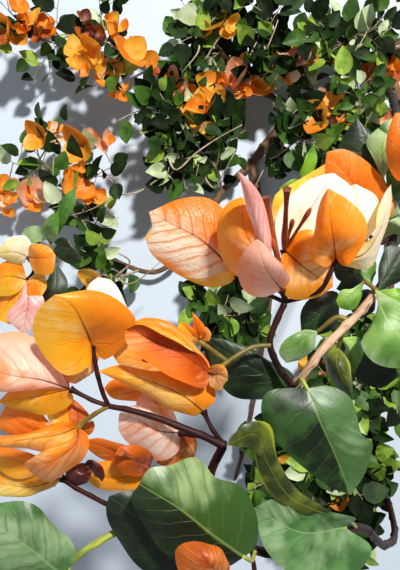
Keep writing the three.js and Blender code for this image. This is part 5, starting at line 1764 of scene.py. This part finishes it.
def nearest_spot(lines, place):
    """The spot of a spray's stem and side twigs that is nearest to a place."""
    spots = [line.at(share) for line in lines for share in np.linspace(0, 1, SPOTS_PER_TWIG)]
    return min(spots, key=lambda spot: np.linalg.norm(spot - place))


def grow_stalk(lines, end):
    """A bloom's stalk, from the nearest spot of a spray's stem and side twigs."""
    nearest = nearest_spot(lines, end)
    add_twig(Line([nearest, nearest * 0.6 + end * 0.4, end]), 5, BLOOM_STALK_RADII)


def grow_bare_twig(lines, places):
    """A leafless twig through the places, from the nearest spot of a spray's stem and side twigs."""
    line = Line([nearest_spot(lines, places[0]), *places])
    relief = bark_relief(len(line.points(4)), ridges=4, rough=0.06)
    add_twig(line, 4, BARE_TWIG_RADII, 6, relief)


def grow_spray(
    name, seed, stem, blooms=(), blossoms=(), bare=(), tints=None, step=SMALL_LEAF_STEP, shares=FINE_SHARES
):
    """A low spray. Its blooms are the solid's, [place, tint]; its blossoms are [place, size, tint].

    Its bare twigs are the places each passes through. Leaves come a step apart, on fine twigs at the
    shares of each twig's length, and in tints as often as their numbers say.
    """
    tints = tints or SHADY_TINTS
    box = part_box(name)
    line = Line(placed(stem))
    add_twig(line, 5, SPRAY_STEM_RADII, 7, bark_relief(seed, ridges=4, rough=0.05))
    leaf_draw = seeded(seed + LEAF_SEED)
    fine_draw = seeded(seed + FINE_SEED)
    bloom_draw = seeded(seed + BLOOM_SEED)
    grow_leaves(line, leaf_draw, box, tints, step)
    grow_fine_twigs(line, shares, fine_draw, box, tints, step)
    twigs = [Line(points) for points in side_twigs(line, seeded(seed))]
    for twig in twigs:
        add_twig(twig, 5, SIDE_TWIG_RADII)
        grow_leaves(twig, leaf_draw, box, tints, step)
        grow_fine_twigs(twig, shares, fine_draw, box, tints, step)
    for spot, tint in blooms:
        grow_stalk([line, *twigs], seen(*spot))
        grow_bloom(seen(*spot), bloom_draw, box, tint)
    for spot, size, tint in blossoms:
        grow_stalk([line, *twigs], seen(*spot))
        grow_cluster(seen(*spot), size, bloom_draw, box, tint)
    for spots in bare:
        grow_bare_twig([line, *twigs], placed(spots))


sprays = {
    "spray_top_right": {
        "seed": 11,
        "stem": [[352, 75, 9], [345, 55, 40], [352, 38, 70], [376, 28, 92]],
        "blooms": [[[372, 74, 62], "brown"], [[331, 60, 60], "orange"]],
        "blossoms": [[[388, 72, 66], 30, "brown"], [[394, 60, 60], 18, "orange"]],
        "bare": [[[350, 58, 86], [360, 44, 93], [367, 31, 96]]],
    },
    "spray_top_middle": {
        "seed": 12,
        "stem": [[318, 97, 9], [305, 74, 36], [285, 50, 60], [254, 36, 76]],
        "blooms": [[[271, 86, 56], "gold"], [[296, 58, 66], "pink"]],
        "blossoms": [
            [[275, 73, 60], 24, "pale"], [[296, 55, 68], 20, "pink"], [[246, 84, 50], 20, "orange"],
        ],
        "bare": [[[266, 50, 84], [273, 34, 88], [278, 20, 90]]],
    },
    "spray_top_centre": {
        "seed": 13,
        "stem": [[245, 84, 20], [232, 66, 44], [218, 46, 66], [196, 32, 84]],
        "blooms": [[[240, 82, 62], "pink"], [[217, 26, 76], "gold"]],
        "blossoms": [
            [[230, 76, 62], 26, "pink"], [[244, 74, 62], 24, "orange"], [[240, 92, 60], 20, "orange"],
            [[216, 22, 78], 24, "gold"],
        ],
        "bare": [[[205, 60, 80], [214, 45, 86], [223, 33, 88]], [[198, 52, 86], [182, 72, 88]]],
    },
    "spray_upper_centre": {
        "seed": 14,
        "stem": [[208, 72, 24], [204, 92, 44], [194, 112, 58], [172, 132, 66]],
        "blooms": [[[206, 110, 72], "gold"], [[176, 92, 60], "pink"]],
        "blossoms": [
            [[212, 96, 70], 26, "gold"], [[204, 116, 72], 24, "gold"], [[192, 124, 64], 20, "orange"],
            [[178, 88, 64], 20, "pink"], [[176, 110, 60], 16, "orange"],
        ],
    },
    "spray_top_left": {
        "seed": 15,
        "stem": [[148, 66, 7], [130, 56, 34], [112, 46, 58], [92, 34, 72]],
        "step": 12,
        "shares": OPEN_SHARES,
        "blooms": [
            [[96, 50, 84], "gold"], [[130, 56, 66], "orange"], [[108, 76, 52], "orange"],
            [[156, 67, 44], "brown"],
        ],
        "blossoms": [
            [[90, 30, 74], 22, "maroon"], [[112, 28, 66], 18, "orange"], [[82, 56, 78], 24, "gold"],
            [[120, 92, 50], 16, "orange"],
        ],
    },
    "spray_corner_left": {
        "seed": 16,
        "stem": [[107, 53, 2], [76, 48, 26], [42, 40, 48], [12, 34, 64]],
        "step": 14,
        "shares": OPEN_SHARES,
        "blooms": [[[8, 28, 76], "brown"]],
        "blossoms": [[[22, 22, 70], 26, "orange"], [[46, 32, 62], 20, "brown"]],
    },
    "spray_left_upper": {
        "seed": 17,
        "stem": [[99, 249, 10], [90, 226, 40], [84, 196, 62], [80, 164, 76]],
        "step": 12,
        "shares": OPEN_SHARES,
        "blooms": [[[82, 146, 82], "gold"], [[76, 188, 74], "orange"]],
        "blossoms": [
            [[98, 138, 72], 18, "pink"], [[74, 165, 74], 18, "orange"], [[90, 192, 66], 18, "orange"],
        ],
        "bare": [[[92, 176, 74], [108, 178, 78], [122, 190, 76]]],
    },
    "spray_left_edge": {
        "seed": 18,
        "stem": [[64, 193, 2], [52, 184, 26], [42, 166, 42], [36, 146, 52]],
        "step": 20,
        "shares": OPEN_SHARES,
        "blooms": [[[42, 137, 60], "orange"], [[28, 197, 42], "pink"]],
        "blossoms": [
            [[54, 134, 54], 16, "pale"], [[6, 190, 40], 20, "orange"], [[4, 203, 36], 20, "pale"],
            [[36, 196, 44], 18, "pale"],
        ],
    },
    "spray_middle": {
        "seed": 19,
        "stem": [[222, 192, 14], [216, 168, 42], [198, 152, 62], [168, 158, 72]],
        "bare": [
            [[176, 170, 80], [196, 153, 86], [218, 138, 88], [242, 125, 88]],
            [[214, 188, 70], [224, 172, 84], [235, 152, 90]],
            [[160, 178, 78], [138, 192, 80], [116, 196, 80], [92, 209, 78], [66, 217, 76]],
        ],
        "blossoms": [[[196, 118, 60], 16, "orange"]],
    },
    "spray_centre": {
        "seed": 20,
        "stem": [[264, 148, 6], [272, 158, 34], [290, 146, 58], [312, 126, 74]],
        "blooms": [[[321, 118, 82], "orange"]],
        "blossoms": [
            [[340, 95, 72], 24, "orange"], [[334, 118, 80], 26, "orange"], [[322, 108, 76], 20, "pink"],
        ],
    },
    "spray_right_middle": {
        "seed": 21,
        "stem": [[401, 128, 13], [388, 130, 42], [368, 124, 66], [344, 108, 84]],
        "blossoms": [[[388, 118, 60], 18, "pink"]],
        "tints": {"dark": 3, "mid": 3, "light": 3, "pale": 1},
    },
    "spray_low_centre": {
        "seed": 22,
        "stem": [[268, 308, 19], [256, 306, 40], [242, 312, 56], [222, 326, 66]],
    },
    "spray_right_upper": {
        "seed": 23,
        "stem": [[389, 310, 14], [374, 338, 46], [364, 372, 72], [356, 404, 90]],
        "step": 5,
        "shares": DENSE_SHARES,
        "blooms": [[[320, 373, 84], "orange"]],
        "tints": {"black": 2, "dark": 4, "mid": 3, "light": 2, "pale": 1},
    },
    "spray_right_lower": {
        "seed": 24,
        "stem": [[379, 412, 7], [368, 430, 40], [356, 454, 72], [350, 482, 96]],
        "step": 5,
        "shares": DENSE_SHARES,
    },
    "spray_right_corner": {
        "seed": 25,
        "stem": [[375, 506, 3], [360, 500, 32], [344, 512, 56], [322, 530, 76]],
        "step": 5,
        "shares": DENSE_SHARES,
        "blooms": [[[336, 488, 70], "orange"]],
    },
    "spray_low_left": {
        "seed": 26,
        "stem": [[140, 270, 18], [122, 276, 46], [106, 276, 78], [92, 270, 104]],
        "step": 10,
        "shares": OPEN_SHARES,
        "bare": [
            [[130, 262, 66], [112, 250, 84], [94, 238, 92], [82, 220, 92]],
            [[128, 284, 66], [144, 276, 80], [160, 262, 84]],
        ],
        "blooms": [[[97, 281, 116], "orange"]],
    },
    "spray_bottom": {
        "seed": 27,
        "stem": [[243, 450, 4], [252, 452, 30], [266, 462, 52], [282, 480, 70]],
        "step": 5,
        "shares": DENSE_SHARES,
        "blooms": [[[300, 462, 84], "orange"]],
    },
}
for spray_name, spray in sprays.items():
    grow_spray(spray_name, **spray)

spray_twigs.make("spray_twigs", [SPRAY_TWIG], list(sprays))
for tint, shape in spray_leaves.items():
    shape.make("spray_leaves_" + tint, [SPRAY_LEAVES[tint]])
for tint, shape in spray_bracts.items():
    shape.make("spray_blooms_" + tint, [SPRAY_BRACTS[tint]])


# Floor and light, in metres

FLOOR_HALF = 4.0
AIM = Vector((0.0, 0.0, 0.3))


def make_floor():
    graph = Graph("floor_pale")
    graph.finish(paint("#c6d2e0"), 0.85)
    mesh = bpy.data.meshes.new("floor")
    signs = [(-1, -1), (1, -1), (1, 1), (-1, 1)]
    corners = [(across * FLOOR_HALF, back * FLOOR_HALF, 0) for across, back in signs]
    mesh.from_pydata(corners, [], [(0, 1, 2, 3)])
    mesh.materials.append(graph.material)
    floor = bpy.data.objects.new("floor", mesh)
    bpy.context.scene.collection.objects.link(floor)


def make_light(name, place, size, power, color):
    """A soft square light at a place, turned to the middle of the blooms."""
    data = bpy.data.lights.new(name, "AREA")
    data.size = size
    data.energy = power
    data.color = color
    light = bpy.data.objects.new(name, data)
    light.location = place
    light.rotation_euler = (AIM - Vector(place)).to_track_quat("-Z", "Y").to_euler()
    light.visible_camera = False
    bpy.context.scene.collection.objects.link(light)


def make_surroundings():
    world = bpy.data.worlds.new("studio")
    world.use_nodes = True
    background = world.node_tree.nodes["Background"]
    background.inputs["Color"].default_value = (0.93, 0.96, 1.0, 1.0)
    background.inputs["Strength"].default_value = 0.22
    bpy.context.scene.world = world


make_floor()
make_surroundings()
make_light("key", (0.35, 0.75, 1.35), size=0.1, power=35.0, color=(1.0, 0.97, 0.92))
make_light("fill", (-0.9, -0.5, 1.2), size=0.9, power=2.2, color=(0.92, 0.96, 1.0))
bpy.context.scene.view_settings.view_transform = "Standard"
